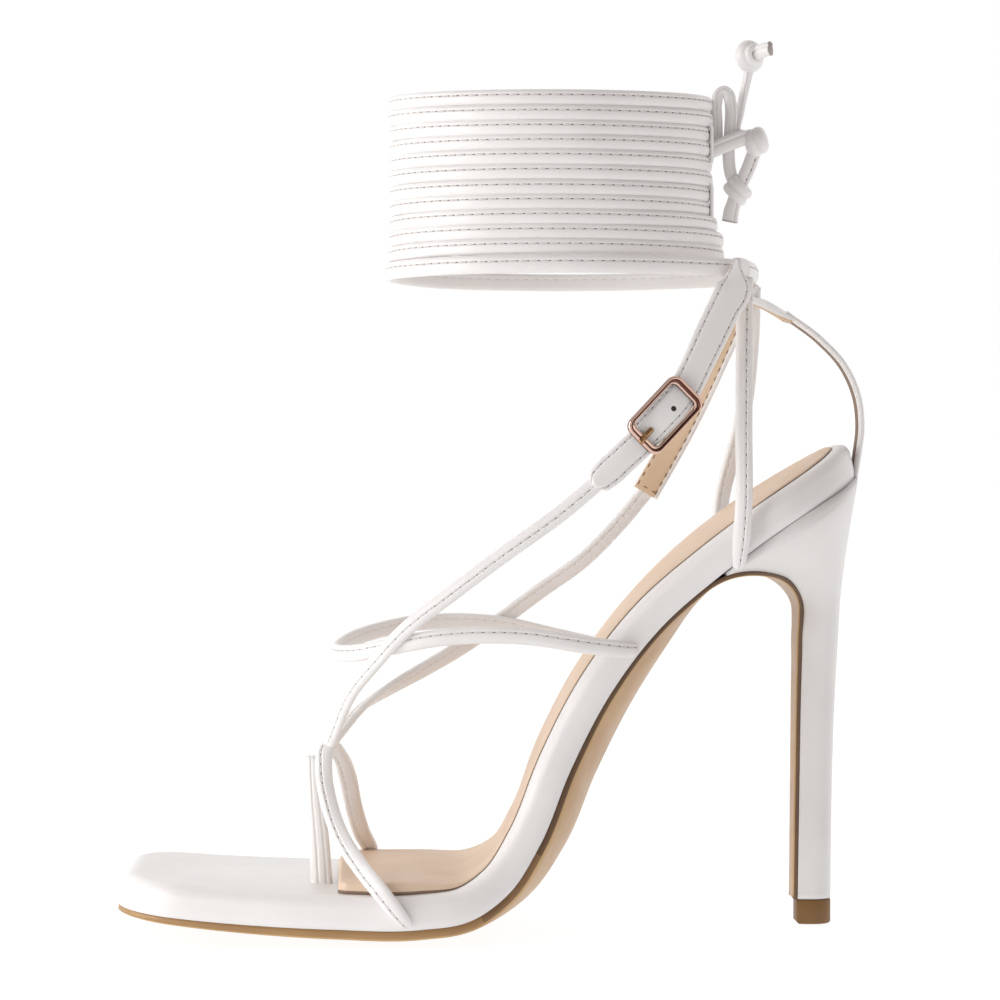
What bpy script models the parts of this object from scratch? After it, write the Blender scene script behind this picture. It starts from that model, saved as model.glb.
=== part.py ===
"""White leather stiletto sandal with thin straps and a wound ankle wrap.

Toe to -X, heel to +X, inner side of the foot to -Y, floor at z = 0. Tables and sizes are in millimetres.
"""
from collections import namedtuple
import math

import bmesh
import bpy
import numpy as np
from mathutils import Vector

MM = 0.001
GAP = 0.3
CURVE_STEPS = 40
SWEEP_STEPS = 400
SHARP_ANGLE = math.radians(40.0)

# Sole: one row for each station, from toe to heel, along the lower edge of the footbed.
# crown is how far the underside bulges below that edge, edge is the thickness of the leather outsole, and
# slant is how far the section runs back towards the heel for each millimetre towards the outer side.
Station = namedtuple("Station", "x z inner outer crown edge slant")
SOLE = [
    Station(-98.0, 9.0, 31.0, 30.0, 0.0, 1.4, 0.0),
    Station(-70.0, 6.3, 34.5, 34.0, 1.6, 1.9, 0.0),
    Station(-42.0, 4.8, 37.0, 37.0, 2.2, 2.3, 0.0),
    Station(-20.0, 4.7, 38.0, 38.0, 2.4, 2.4, 0.01),
    Station(-7.0, 6.6, 36.6, 37.0, 3.0, 2.3, 0.05),
    Station(2.5, 12.8, 33.4, 34.6, 4.0, 2.1, 0.08),
    Station(10.0, 24.0, 29.2, 31.4, 5.0, 2.0, 0.075),
    Station(18.0, 43.0, 25.2, 28.2, 5.8, 1.8, 0.06),
    Station(28.0, 61.8, 22.8, 26.2, 5.8, 1.5, 0.055),
    Station(41.0, 78.7, 22.4, 25.6, 4.4, 1.2, 0.045),
    Station(56.0, 91.8, 24.2, 26.2, 0.8, 1.0, 0.0),
    Station(75.0, 106.0, 27.0, 27.4, 0.0, 1.0, 0.0),
    Station(94.5, 117.3, 27.0, 27.0, 0.0, 1.0, 0.0),
]
STATIONS_ALONG = 23
COLUMNS_ACROSS = 6
SLANT_FROM = -26.0
TOE_CORNER = 15.0
TOE_CORNER_POINTS = 7
SEAT_DEPTH = 25.0
SEAT_FLAT = 4.0
SEAT_POINTS = 8
SEAT_LEAN = 0.4
SEAT_RISE = 0.22

FOOTBED_THICK = 8.3
FOOTBED_ROUND = 4.0
FOOTBED_ROUND_TURNS = (30.0, 60.0, 90.0)
FOOTBED_FOOT = 0.5
OUTSOLE_INSET = 0.8
OUTSOLE_BEVEL = 0.7
OUTSOLE_BEVEL_SHARE = 0.6
FLAP_START_X = 54.0
FLAP_STATIONS = 20
INSOLE_THICK = 0.6
INSOLE_INSET = 4.4
INSOLE_FRONT_X = -41.0

# Heel: one row for each section from the tip up; each section runs from its front edge to its back point.
HeelRow = namedtuple("HeelRow", "front_x front_z back_x back_z front_half side_half")
HEEL = [
    HeelRow(79.6, 6.6, 88.8, 6.6, 3.8, 4.4),
    HeelRow(79.9, 33.0, 89.1, 33.0, 4.3, 4.9),
    HeelRow(80.2, 59.0, 89.8, 58.0, 4.9, 5.7),
    HeelRow(80.4, 75.0, 90.7, 75.0, 5.9, 7.4),
    HeelRow(80.0, 85.6, 91.5, 89.0, 8.0, 11.0),
    HeelRow(76.2, 90.6, 92.9, 101.0, 13.0, 17.5),
    HeelRow(69.5, 92.9, 94.3, 110.0, 18.5, 23.0),
    HeelRow(61.4, 93.0, 95.2, 115.0, 22.6, 26.0),
    HeelRow(58.2, 92.2, 95.4, 116.0, 23.2, 26.3),
]
HEEL_SECTIONS = 21
HEEL_FRONT_POINTS = 3
HEEL_BACK_POINTS = 7
HEEL_WIDEST = 0.45
TIP_HEIGHT = 6.3

# Straps: rows are x, y, z of the middle of the strap, and its width there.
StrapRow = namedtuple("StrapRow", "x y z width")
STRAP_THICK = 1.8
THIN = 4.4
WIDE = 7.6
TOE_POST = [
    StrapRow(-44.9, -13.0, 13.7, 5.8),
    StrapRow(-45.6, -13.0, 25.0, 5.4),
    StrapRow(-46.3, -13.4, 36.0, 4.8),
    StrapRow(-46.4, -14.6, 45.4, 4.4),
]
TOE_STRAP = [
    StrapRow(-24.3, -39.4, 6.2, THIN),
    StrapRow(-29.2, -39.0, 13.5, THIN),
    StrapRow(-34.3, -34.6, 19.8, THIN),
    StrapRow(-39.4, -28.4, 27.4, THIN),
    StrapRow(-42.4, -22.4, 35.0, THIN),
    StrapRow(-44.0, -16.8, 43.4, THIN),
    StrapRow(-43.4, -12.4, 48.6, THIN),
    StrapRow(-40.8, -7.4, 46.4, THIN),
    StrapRow(-38.5, 2.0, 39.6, THIN),
    StrapRow(-36.8, 12.0, 30.8, THIN),
    StrapRow(-34.6, 24.0, 22.0, THIN),
    StrapRow(-32.4, 34.0, 16.2, THIN),
    StrapRow(-31.4, 39.3, 11.0, THIN),
    StrapRow(-31.0, 39.6, 6.4, THIN),
]
INSTEP_INNER = [
    StrapRow(-43.4, -12.6, 48.6, THIN),
    StrapRow(-37.5, -18.0, 62.4, THIN),
    StrapRow(-31.1, -21.8, 70.6, THIN),
    StrapRow(-24.6, -24.6, 77.9, THIN),
    StrapRow(-11.8, -28.8, 88.3, THIN),
    StrapRow(1.0, -31.0, 98.0, THIN),
    StrapRow(15.0, -32.8, 108.2, THIN),
    StrapRow(28.0, -33.5, 119.2, THIN),
]
INSTEP_OUTER = [
    StrapRow(-43.2, -13.0, 49.0, THIN),
    StrapRow(-34.1, 0.0, 57.2, THIN),
    StrapRow(-27.4, 8.0, 62.0, THIN),
    StrapRow(-16.8, 18.5, 67.2, THIN),
    StrapRow(-9.9, 24.4, 70.6, THIN),
    StrapRow(0.0, 30.0, 76.2, THIN),
    StrapRow(14.8, 32.6, 86.5, THIN),
    StrapRow(25.5, 32.8, 94.1, THIN),
    StrapRow(42.6, 32.2, 113.2, THIN),
]
MID_LOOP = [
    StrapRow(35.6, -24.6, 73.2, THIN),
    StrapRow(23.7, -27.4, 74.6, THIN),
    StrapRow(4.3, -29.0, 77.4, THIN),
    StrapRow(-15.0, -27.0, 76.8, THIN),
    StrapRow(-26.0, -22.6, 74.6, THIN),
    StrapRow(-36.0, -13.6, 72.2, THIN),
    StrapRow(-41.4, 0.0, 71.8, THIN),
    StrapRow(-36.0, 14.6, 74.6, THIN),
    StrapRow(-20.1, 25.0, 77.8, THIN),
    StrapRow(0.6, 29.0, 77.6, THIN),
    StrapRow(21.6, 29.4, 73.2, THIN),
    StrapRow(33.4, 28.2, 70.6, THIN),
]
BUCKLE_TAB = [
    StrapRow(24.6, -33.3, 116.2, WIDE),
    StrapRow(30.5, -33.5, 121.8, WIDE),
    StrapRow(36.6, -33.6, 127.4, WIDE),
]
SIDE_STRAP_INNER = [
    StrapRow(32.8, -32.2, 121.6, 6.2),
    StrapRow(41.2, -31.2, 132.5, 7.0),
    StrapRow(47.6, -30.8, 141.0, WIDE),
    StrapRow(54.4, -27.8, 153.6, WIDE),
    StrapRow(60.4, -24.1, 164.6, WIDE),
    StrapRow(62.2, -22.7, 169.0, 4.0),
    StrapRow(62.6, -21.6, 172.2, 2.4),
]
SIDE_STRAP_OUTER = [
    StrapRow(41.4, 31.5, 111.4, WIDE),
    StrapRow(52.2, 28.8, 132.4, WIDE),
    StrapRow(59.6, 24.4, 148.6, WIDE),
    StrapRow(66.2, 20.2, 162.0, WIDE),
    StrapRow(71.5, 18.7, 170.8, 5.0),
]
STAY_INNER = [
    StrapRow(60.2, -27.3, 96.2, THIN),
    StrapRow(61.9, -27.9, 109.3, THIN),
    StrapRow(62.3, -25.4, 129.5, THIN),
    StrapRow(62.9, -21.6, 152.6, THIN),
    StrapRow(63.6, -19.0, 168.4, THIN),
]
STAY_OUTER = [
    StrapRow(62.5, 28.0, 97.4, THIN),
    StrapRow(63.5, 28.4, 110.0, THIN),
    StrapRow(68.9, 24.0, 134.3, THIN),
    StrapRow(70.6, 20.0, 156.1, THIN),
    StrapRow(70.7, 18.2, 168.4, THIN),
]
SLING = [
    StrapRow(76.6, 0.0, 160.2, WIDE),
    StrapRow(85.9, 0.0, 153.3, WIDE),
    StrapRow(92.0, 0.0, 146.7, WIDE),
    StrapRow(95.6, 0.0, 138.9, WIDE),
    StrapRow(96.7, 0.0, 130.4, WIDE),
    StrapRow(96.0, 0.0, 124.0, WIDE),
    StrapRow(95.7, 0.0, 119.2, WIDE),
]
SLING_FORK_INNER = [
    StrapRow(63.4, -20.0, 167.6, 4.8),
    StrapRow(70.0, -11.4, 164.6, 4.8),
    StrapRow(79.6, -1.6, 158.6, 4.8),
]
SLING_FORK_OUTER = [
    StrapRow(70.8, 19.6, 167.4, 4.8),
    StrapRow(74.4, 9.8, 164.0, 4.8),
    StrapRow(80.4, 1.6, 158.2, 4.8),
]

# Core lines that the straps lie around: each strap turns its flat side away from its line.
TOES = ((-80.0, -12.0, 20.0), (-10.0, -12.0, 20.0))
TOE_CLEFT = ((-46.0, 20.0, 0.0), (-46.0, 20.0, 60.0))
INSTEP = ((-60.0, 0.0, 20.0), (40.0, 0.0, 104.0))
LOOP_MIDDLE = ((0.0, 0.0, 40.0), (0.0, 0.0, 100.0))
LEG = ((36.0, 0.0, 90.0), (30.0, 0.0, 200.0))
HEEL_BONE = ((72.0, 0.0, 90.0), (66.0, 0.0, 170.0))
HEEL_ACROSS = ((70.0, -20.0, 134.0), (70.0, 20.0, 134.0))
ANKLE_BACK = ((60.0, 0.0, 148.0), (90.0, 0.0, 148.0))
MID_LOOP_STEPS = 34
StrapPiece = namedtuple("StrapPiece", "name rows core steps")
STRAPS = [
    StrapPiece("toe_post", TOE_POST, TOE_CLEFT, 8),
    StrapPiece("toe_strap", TOE_STRAP, TOES, 30),
    StrapPiece("instep_strap_inner", INSTEP_INNER, INSTEP, 16),
    StrapPiece("instep_strap_outer", INSTEP_OUTER, INSTEP, 18),
    StrapPiece("buckle_tab", BUCKLE_TAB, LEG, 5),
    StrapPiece("side_strap_inner", SIDE_STRAP_INNER, LEG, 10),
    StrapPiece("side_strap_outer", SIDE_STRAP_OUTER, LEG, 10),
    StrapPiece("stay_inner", STAY_INNER, HEEL_BONE, 10),
    StrapPiece("stay_outer", STAY_OUTER, HEEL_BONE, 10),
    StrapPiece("sling", SLING, HEEL_ACROSS, 14),
    StrapPiece("sling_fork_inner", SLING_FORK_INNER, ANKLE_BACK, 7),
    StrapPiece("sling_fork_outer", SLING_FORK_OUTER, ANKLE_BACK, 7),
]

# Ankle wrap: eleven turns in one wall, and the lowest turn, which runs through the two ankle loops.
WRAP_TURNS = 11
WRAP_MIDDLE_X = 14.8
WRAP_HALF_LENGTH = 41.4
WRAP_HALF_WIDTH = 35.0
WRAP_BOTTOM = 173.2
WRAP_PITCH = 3.72
WRAP_WALL = 1.3
WRAP_BULGE = 1.0
WRAP_TILT = math.radians(4.0)
WRAP_STEPS = 32
LOW_BACK_REACH = 3.0
LOW_BACK_TURNS = 2
TURN_WIDTH = 4.2
TURN_THICK = 2.0
TurnRow = namedtuple("TurnRow", "x y z")
LOW_TURN = [
    TurnRow(-27.6, 0.0, 170.6),
    TurnRow(-14.5, -25.6, 170.6),
    TurnRow(14.0, -36.2, 170.6),
    TurnRow(44.0, -30.0, 170.8),
    TurnRow(62.5, -17.5, 171.4),
    TurnRow(69.0, -1.0, 171.6),
    TurnRow(69.2, 16.8, 171.4),
    TurnRow(48.0, 30.4, 170.8),
    TurnRow(14.0, 36.2, 170.6),
    TurnRow(-14.5, 25.6, 170.6),
]
LOW_TURN_STEPS = 56
LOOP_CLEAR = 0.6
LOOP_WALL = 1.4
LOOP_LENGTH = 6.5
LOOP_POINTS = 16
LOOP_ROWS = {"ankle_loop_inner": 4, "ankle_loop_outer": 6}

# Buckle: a rounded frame lying on the tab and the strap, and its short prong.
BUCKLE_LOW = (35.0, -36.2, 127.0)
BUCKLE_HIGH = (47.2, -33.9, 139.8)
BUCKLE_FACE = (0.2, -1.0, 0.0)
BUCKLE_LENGTH = 18.4
BUCKLE_WIDTH = 10.6
BUCKLE_BAR = 2.1
BUCKLE_THICK = 1.8
BUCKLE_ROUND = 2.6
BUCKLE_ROUND_LOSS = 0.6
BUCKLE_CORNER_POINTS = 4
PRONG_FROM = 2.5
PRONG_TO = 8.6
PRONG_THICK = 1.5

# Tie ends behind the ankle: the route of each cord, and the knots by their middle and radius.
TIE_THICK = 2.6
TIE_LOOP = [
    (59.0, 0.2, 202.6),
    (59.0, 0.2, 210.4),
    (59.3, 0.2, 216.6),
    (60.8, 0.1, 218.7),
    (62.3, 0.0, 216.6),
    (62.6, -0.2, 208.0),
    (62.7, -0.4, 201.0),
    (63.2, -0.6, 196.9),
]
TIE_OUT = [
    (58.2, -4.4, 200.2),
    (61.2, -4.4, 202.6),
    (64.6, -3.6, 204.4),
]
TIE_UP = [
    (66.15, 1.25, 208.5),
    (65.6, 2.6, 213.6),
    (66.1, 2.5, 218.6),
    (66.7, 2.3, 223.4),
]
TIE_LINK = [
    (67.9, -1.6, 200.9),
    (67.1, -1.4, 198.6),
    (66.4, -1.2, 196.2),
]
TIE_TAIL = [
    (62.9, -1.2, 188.3),
    (62.2, -1.6, 186.0),
    (61.7, -1.9, 183.8),
]
TIE_TIP = [
    (71.1, -1.2, 228.6),
    (72.3, -2.2, 228.8),
    (73.5, -3.2, 229.0),
]
TIE_POINTS_A_STEP = 4
KNOT_SEGMENTS = 12
KNOT_RINGS = 8
Knot = namedtuple("Knot", "x y z radius")
KNOTS = {
    "tie_knot_middle": Knot(68.8, -1.8, 205.2, 3.9),
    "tie_knot_low": Knot(64.0, -0.8, 192.5, 3.9),
    "tie_knot_top": Knot(67.6, 1.8, 228.1, 4.3),
}

# Finishes: base colour, roughness and metallic value.
Finish = namedtuple("Finish", "colour roughness metallic")
WHITE_LEATHER = Finish((0.86, 0.84, 0.83), 0.42, 0.0)
BEIGE_LEATHER = Finish((0.76, 0.56, 0.38), 0.55, 0.0)
TAN_LEATHER = Finish((0.50, 0.31, 0.16), 0.45, 0.0)
BROWN_RUBBER = Finish((0.21, 0.11, 0.04), 0.5, 0.0)
ROSE_GOLD = Finish((0.80, 0.47, 0.36), 0.22, 1.0)


def smooth(rows, count, axes=3, closed=False):
    """Even points of a smooth curve through the rows; the first columns, as many as axes, are its place."""
    rows = np.array(rows, float)
    if closed:
        rows = np.vstack([rows[-2:], rows, rows[:3]])
    steps = np.linalg.norm(np.diff(rows[:, :axes], axis=0), axis=1)
    knots = np.concatenate([[0.0], np.cumsum(steps)])
    slopes = np.gradient(rows, knots, axis=0)
    first, last = (knots[2], knots[-3]) if closed else (0.0, knots[-1])
    fine = np.linspace(first, last, CURVE_STEPS * len(rows))
    span = np.clip(np.searchsorted(knots, fine, side="right") - 1, 0, len(rows) - 2)
    h = steps[span][:, None]
    t = ((fine - knots[span]) / steps[span])[:, None]
    curve = rows[span] * (1 + 2 * t) * (1 - t) ** 2 + slopes[span] * h * t * (1 - t) ** 2
    curve += rows[span + 1] * t ** 2 * (3 - 2 * t) + slopes[span + 1] * h * t ** 2 * (t - 1)
    run = np.linalg.norm(np.diff(curve[:, :axes], axis=0), axis=1)
    length = np.concatenate([[0.0], np.cumsum(run)])
    at = np.linspace(0.0, length[-1], count, endpoint=not closed)
    return np.stack([np.interp(at, length, column) for column in curve.T], 1)


def unit(vectors):
    """The vectors at length one."""
    return vectors / np.linalg.norm(vectors, axis=-1, keepdims=True)


def material(name, finish):
    """A plain leather, rubber or metal finish."""
    found = bpy.data.materials.get(name)
    if found:
        return found
    made = bpy.data.materials.new(name)
    made.use_nodes = True
    shader = made.node_tree.nodes["Principled BSDF"]
    shader.inputs["Base Color"].default_value = (*finish.colour, 1.0)
    shader.inputs["Roughness"].default_value = finish.roughness
    shader.inputs["Metallic"].default_value = finish.metallic
    return made


def add_mesh(name, points, faces, finish, collection):
    """A closed mesh from points in millimetres, with its faces turned outwards."""
    mesh = bpy.data.meshes.new(name)
    mesh.from_pydata((np.asarray(points) * MM).tolist(), [], faces)
    shape = bmesh.new()
    shape.from_mesh(mesh)
    bmesh.ops.triangulate(shape, faces=shape.faces)
    bmesh.ops.recalc_face_normals(shape, faces=shape.faces)
    shape.to_mesh(mesh)
    shape.free()
    mesh.shade_smooth()
    mesh.set_sharp_from_angle(angle=SHARP_ANGLE)
    mesh.materials.append(material(*finish))
    made = bpy.data.objects.new(name, mesh)
    collection.objects.link(made)
    return made


def skin(loops, size, first=0):
    """Four-sided faces between closed loops of points that follow one another."""
    faces = []
    for loop in range(loops - 1):
        start = first + loop * size
        for i in range(size):
            j = (i + 1) % size
            faces.append((start + i, start + j, start + size + j, start + size + i))
    return faces


class Sweep:
    """A line in the XZ plane that pads follow: s runs along it, y across it and n away from the floor."""

    def __init__(self, rows):
        line = smooth(rows, SWEEP_STEPS, axes=2)
        self.rows = Station(*line.T)
        step = np.linalg.norm(np.diff(line[:, :2], axis=0), axis=1)
        self.s = np.concatenate([[0.0], np.cumsum(step)])
        self.length = self.s[-1]
        run = unit(np.gradient(line[:, :2], self.s, axis=0))
        self.tangent_x, self.tangent_z = run.T

    def column(self, name, s):
        return np.interp(s, self.s, getattr(self.rows, name))

    def place(self, s, y, n):
        tx = np.interp(s, self.s, self.tangent_x)
        tz = np.interp(s, self.s, self.tangent_z)
        past = np.maximum(s - self.length, 0.0)
        x = self.column("x", s) + tx * past - tz * n + self.column("slant", s) * (y - SLANT_FROM)
        z = self.column("z", s) + tz * past + tx * n
        return np.stack([x, y, z], -1)


def plan_loop(s, inner, outer):
    """Closed outline in s and y: inner side to the heel, across, outer side to the toe, and across."""
    near = np.stack([s, -inner], 1)
    far = np.stack([s, outer], 1)
    across = np.linspace(0.0, 1.0, COLUMNS_ACROSS + 1)[1:-1, None]
    back = near[-1] + (far[-1] - near[-1]) * across
    front = far[0] + (near[0] - far[0]) * across
    return np.vstack([near, back, far[::-1], front])


def inset(loop, distance):
    """The outline moved inwards along its normals."""
    ahead = unit(np.roll(loop, -1, 0) - np.roll(loop, 1, 0))
    return loop + np.stack([-ahead[:, 1], ahead[:, 0]], 1) * distance


def filled(loop, count):
    """The outline's inside as a grid of s and y, row by row, without the outline itself."""
    near = loop[:count]
    far = loop[count + COLUMNS_ACROSS - 1:2 * count + COLUMNS_ACROSS - 1][::-1]
    across = np.linspace(0.0, 1.0, COLUMNS_ACROSS + 1)[1:-1]
    rows = near[1:-1, None] + (far - near)[1:-1, None] * across[None, :, None]
    crest = 1 - (2 * across - 1) ** 2
    return rows.reshape(-1, 2), np.tile(crest, count - 2)


def fill_faces(loop_start, grid_start, count):
    """Faces of a filled outline: the loop's points round the edge and the grid's points inside."""
    def index(i, c):
        if c == 0:
            return loop_start + i
        if c == COLUMNS_ACROSS:
            return loop_start + 2 * count + COLUMNS_ACROSS - 2 - i
        if i == count - 1:
            return loop_start + count + c - 1
        if i == 0:
            return loop_start + 2 * count + 2 * COLUMNS_ACROSS - 2 - c
        return grid_start + (i - 1) * (COLUMNS_ACROSS - 1) + c - 1

    faces = []
    for i in range(count - 1):
        for c in range(COLUMNS_ACROSS):
            faces.append((index(i, c), index(i + 1, c), index(i + 1, c + 1), index(i, c + 1)))
    return faces


def pad(name, sweep, outline, layers, crowns, finish, collection, lean=0.0, rise=0.0, floor=False):
    """A layer of the sole: outlines stacked from the lowest to the highest, filled below and above.

    Each layer gives its inset and its height, a number or a function of s; crowns gives how much of
    the sole's bulge the lower and the upper surface follow, lean how far the heel seat's back wall
    leans backwards for each millimetre of its height, and rise by what share that height grows there.
    """
    def place(flat, n):
        s = flat[:, 0]
        seat = np.clip((s - sweep.length) / SEAT_DEPTH + 1.0, 0.0, 1.0)
        n = n * (1.0 + rise * seat ** 2)
        return sweep.place(s + lean * seat * n, flat[:, 1], n)

    count = (len(outline) - 2 * (COLUMNS_ACROSS - 1)) // 2
    points = []
    for inwards, height in layers:
        loop = inset(outline, inwards)
        s = loop[:, 0]
        n = height(s) if callable(height) else np.full(len(s), height)
        points.append(place(loop, n))
    faces = skin(len(layers), len(outline))
    for which, share in ((0, crowns[0]), (-1, crowns[1])):
        inwards, height = layers[which]
        grid, crest = filled(inset(outline, inwards), count)
        s = grid[:, 0]
        n = height(s) if callable(height) else np.full(len(s), height)
        n = n - share * sweep.column("crown", s) * crest
        start = 0 if which == 0 else (len(layers) - 1) * len(outline)
        faces += fill_faces(start, sum(len(block) for block in points), count)
        points.append(place(grid, n))
    points = np.vstack(points)
    if floor:
        points[:, 2] = np.maximum(points[:, 2], 0.0)
    return add_mesh(name, points, faces, finish, collection)


def toe_rounding(s):
    """How far a side draws in near the toe, so that the toe is square with round corners."""
    reach = np.clip(TOE_CORNER - s, 0.0, TOE_CORNER)
    return TOE_CORNER - np.sqrt(TOE_CORNER ** 2 - reach ** 2)


def toe_stations():
    """Close stations round the toe's corner."""
    turn = np.linspace(0.0, math.pi / 2, TOE_CORNER_POINTS)
    return TOE_CORNER * (1 - np.cos(turn))


def sole_stations(sweep):
    """Stations from the toe to the start of the heel seat, which footbed and outsole share."""
    middle = np.linspace(TOE_CORNER, sweep.length - SEAT_DEPTH, STATIONS_ALONG)
    return np.concatenate([toe_stations()[:-1], middle])


def footbed_outline(sweep, start=0.0):
    """The footbed's outline, square at the toe and round at the heel seat."""
    seat_start = sweep.length - SEAT_DEPTH
    seat_turn = np.linspace(0.0, math.acos(SEAT_FLAT / SOLE[-1].inner), SEAT_POINTS)
    s = np.concatenate([sole_stations(sweep)[:-1], seat_start + SEAT_DEPTH * np.sin(seat_turn)])
    if start > 0.0:
        s = np.concatenate([[start], s[s > start + GAP]])
    past = np.clip((s - seat_start) / SEAT_DEPTH, 0.0, 1.0)
    seat = np.sqrt(1 - past ** 2)
    inner = (sweep.column("inner", s) - toe_rounding(s)) * seat
    outer = (sweep.column("outer", s) - toe_rounding(s)) * seat
    return plan_loop(s, inner, outer)


def footbed(sweep, collection):
    """White padded footbed with a soft upper edge."""
    layers = [(FOOTBED_FOOT, 0.0), (0.0, FOOTBED_FOOT), (0.0, FOOTBED_THICK - FOOTBED_ROUND)]
    for turn in np.radians(FOOTBED_ROUND_TURNS):
        fall = FOOTBED_ROUND * (1 - math.sin(turn))
        layers.append((FOOTBED_ROUND * (1 - math.cos(turn)), FOOTBED_THICK - fall))
    finish = ("white_leather_sole", WHITE_LEATHER)
    outline = footbed_outline(sweep)
    return pad("footbed", sweep, outline, layers, (1.0, 0.0), finish, collection, SEAT_LEAN, SEAT_RISE)


def insole(sweep, collection):
    """Beige insole on the footbed, from its straight front edge to the heel seat."""
    start = np.interp(INSOLE_FRONT_X, sweep.rows.x, sweep.s) - INSOLE_INSET
    low = FOOTBED_THICK + GAP
    layers = [(INSOLE_INSET, low), (INSOLE_INSET, low + INSOLE_THICK)]
    finish = ("beige_insole", BEIGE_LEATHER)
    outline = footbed_outline(sweep, start)
    return pad("insole", sweep, outline, layers, (0.0, 0.0), finish, collection, SEAT_LEAN, SEAT_RISE)


def outsole(sole_line, collection):
    """Leather outsole under the footbed, running on down the front of the heel as a flap."""
    shared = sole_stations(sole_line)
    shared = shared[sole_line.column("x", shared) < FLAP_START_X]
    line = Station(*[sole_line.column(name, shared) for name in Station._fields])
    line = line._replace(inner=line.inner - OUTSOLE_INSET, outer=line.outer - OUTSOLE_INSET)
    flap = []
    for row in reversed(heel_rows()):
        half = row.front_half
        flap.append(SOLE[-1]._replace(x=row.front_x, z=row.front_z, inner=half, outer=half))
    sweep = Sweep(np.vstack([np.stack(line, 1), flap]))
    s = np.concatenate([shared, np.linspace(shared[-1], sweep.length, FLAP_STATIONS + 1)[1:]])
    inner = sweep.column("inner", s) - toe_rounding(s)
    outer = sweep.column("outer", s) - toe_rounding(s)

    def bottom(at):
        return -GAP - sweep.column("edge", at)

    def bevel_start(at):
        return -GAP - OUTSOLE_BEVEL_SHARE * sweep.column("edge", at)

    layers = [(OUTSOLE_BEVEL, bottom), (0.0, bevel_start), (0.0, -GAP)]
    outline = plan_loop(s, inner, outer)
    finish = ("tan_outsole", TAN_LEATHER)
    return pad("outsole", sweep, outline, layers, (1.0, 1.0), finish, collection, floor=True)


def heel_rows():
    """Heel sections close together, from the tip up."""
    return [HeelRow(*row) for row in smooth(HEEL, HEEL_SECTIONS, axes=2)]


def heel_half(row, share):
    """Half width of a heel section at a share of its length: flat front, full side and round back."""
    rise = np.sin(np.clip(share / HEEL_WIDEST, 0.0, 1.0) * math.pi / 2)
    full = row.front_half + (row.side_half - row.front_half) * rise
    past = np.clip((share - HEEL_WIDEST) / (1 - HEEL_WIDEST), 0.0, 1.0)
    return full * np.sqrt(1 - past ** 2)


def heel_loop(row, height=None):
    """One closed section of the heel; height gives z from x, or the section is flat."""
    front = np.linspace(0.0, HEEL_WIDEST, HEEL_FRONT_POINTS, endpoint=False)
    turn = np.linspace(0.0, math.pi / 2, HEEL_BACK_POINTS)
    share = np.concatenate([front, HEEL_WIDEST + (1 - HEEL_WIDEST) * np.sin(turn)])
    x = row.front_x + (row.back_x - row.front_x) * share
    z = row.front_z + (row.back_z - row.front_z) * share
    if height is not None:
        z = height(x)
    half = heel_half(row, share)
    near = np.stack([x, -half, z], 1)
    far = np.stack([x, half, z], 1)
    return np.vstack([near, far[-2::-1]])


def heel_caps(size, start):
    """Strips that close a heel section from side to side."""
    side = size // 2
    faces = []
    for i in range(side - 1):
        faces.append((start + i, start + i + 1, start + size - 2 - i, start + size - 1 - i))
    faces.append((start + side - 1, start + side, start + side + 1))
    return faces


def heel(sweep, collection):
    """White covered stiletto heel, its top shaped to the underside of the heel seat."""
    def seat(x):
        edge = np.interp(x, sweep.rows.x, sweep.rows.z)
        crown = np.interp(x, sweep.rows.x, sweep.rows.crown)
        return edge - np.maximum(crown, 0.0) - GAP

    rows = heel_rows()
    loops = [heel_loop(row) for row in rows]
    loops.append(heel_loop(rows[-1], seat))
    size = len(loops[0])
    faces = skin(len(loops), size) + heel_caps(size, 0) + heel_caps(size, (len(loops) - 1) * size)
    finish = ("white_leather_heel", WHITE_LEATHER)
    return add_mesh("heel", np.vstack(loops), faces, finish, collection)


def heel_tip(collection):
    """Brown top piece under the heel, standing on the floor."""
    top = HEEL[0]._replace(front_z=TIP_HEIGHT, back_z=TIP_HEIGHT)
    bottom = HEEL[0]._replace(front_z=0.0, back_z=0.0)
    loops = [heel_loop(bottom), heel_loop(top)]
    size = len(loops[0])
    faces = skin(2, size) + heel_caps(size, 0) + heel_caps(size, size)
    return add_mesh("heel_tip", np.vstack(loops), faces, ("brown_top_piece", BROWN_RUBBER), collection)


def away_from(points, line):
    """Directions from a core line to the points."""
    start = np.array(line[0])
    along = unit(np.array(line[1]) - start)
    off = points - start
    return off - np.outer(off @ along, along)


def band(path, widths, thick, outward, closed):
    """Points and faces of a strap: a flat section with tapered edges carried along the path."""
    if closed:
        tangent = unit(np.roll(path, -1, 0) - np.roll(path, 1, 0))
    else:
        tangent = unit(np.gradient(path, axis=0))
    outward = unit(outward - tangent * np.sum(outward * tangent, 1, keepdims=True))
    side = np.cross(tangent, outward)
    half = widths[:, None] / 2
    flat = half - thick / 2
    up = outward * thick / 2
    loops = [path + side * half, path + side * flat + up, path - side * flat + up]
    loops += [path - side * half, path - side * flat - up, path + side * flat - up]
    size = len(loops)
    points = np.stack(loops, 1).reshape(-1, 3)
    faces = skin(len(path), size)
    if closed:
        last = (len(path) - 1) * size
        faces += [(last + i, last + (i + 1) % size, (i + 1) % size, i) for i in range(size)]
    else:
        faces.append(tuple(range(size)))
        faces.append(tuple(range((len(path) - 1) * size, len(path) * size)))
    return points, faces


def strap(name, rows, core, count, collection, thick=STRAP_THICK):
    """A strap through its rows, its flat side turned away from its core line."""
    line = smooth(rows, count)
    points, faces = band(line[:, :3], line[:, 3], thick, away_from(line[:, :3], core), False)
    return add_mesh(name, points, faces, ("white_leather_straps", WHITE_LEATHER), collection)


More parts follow.
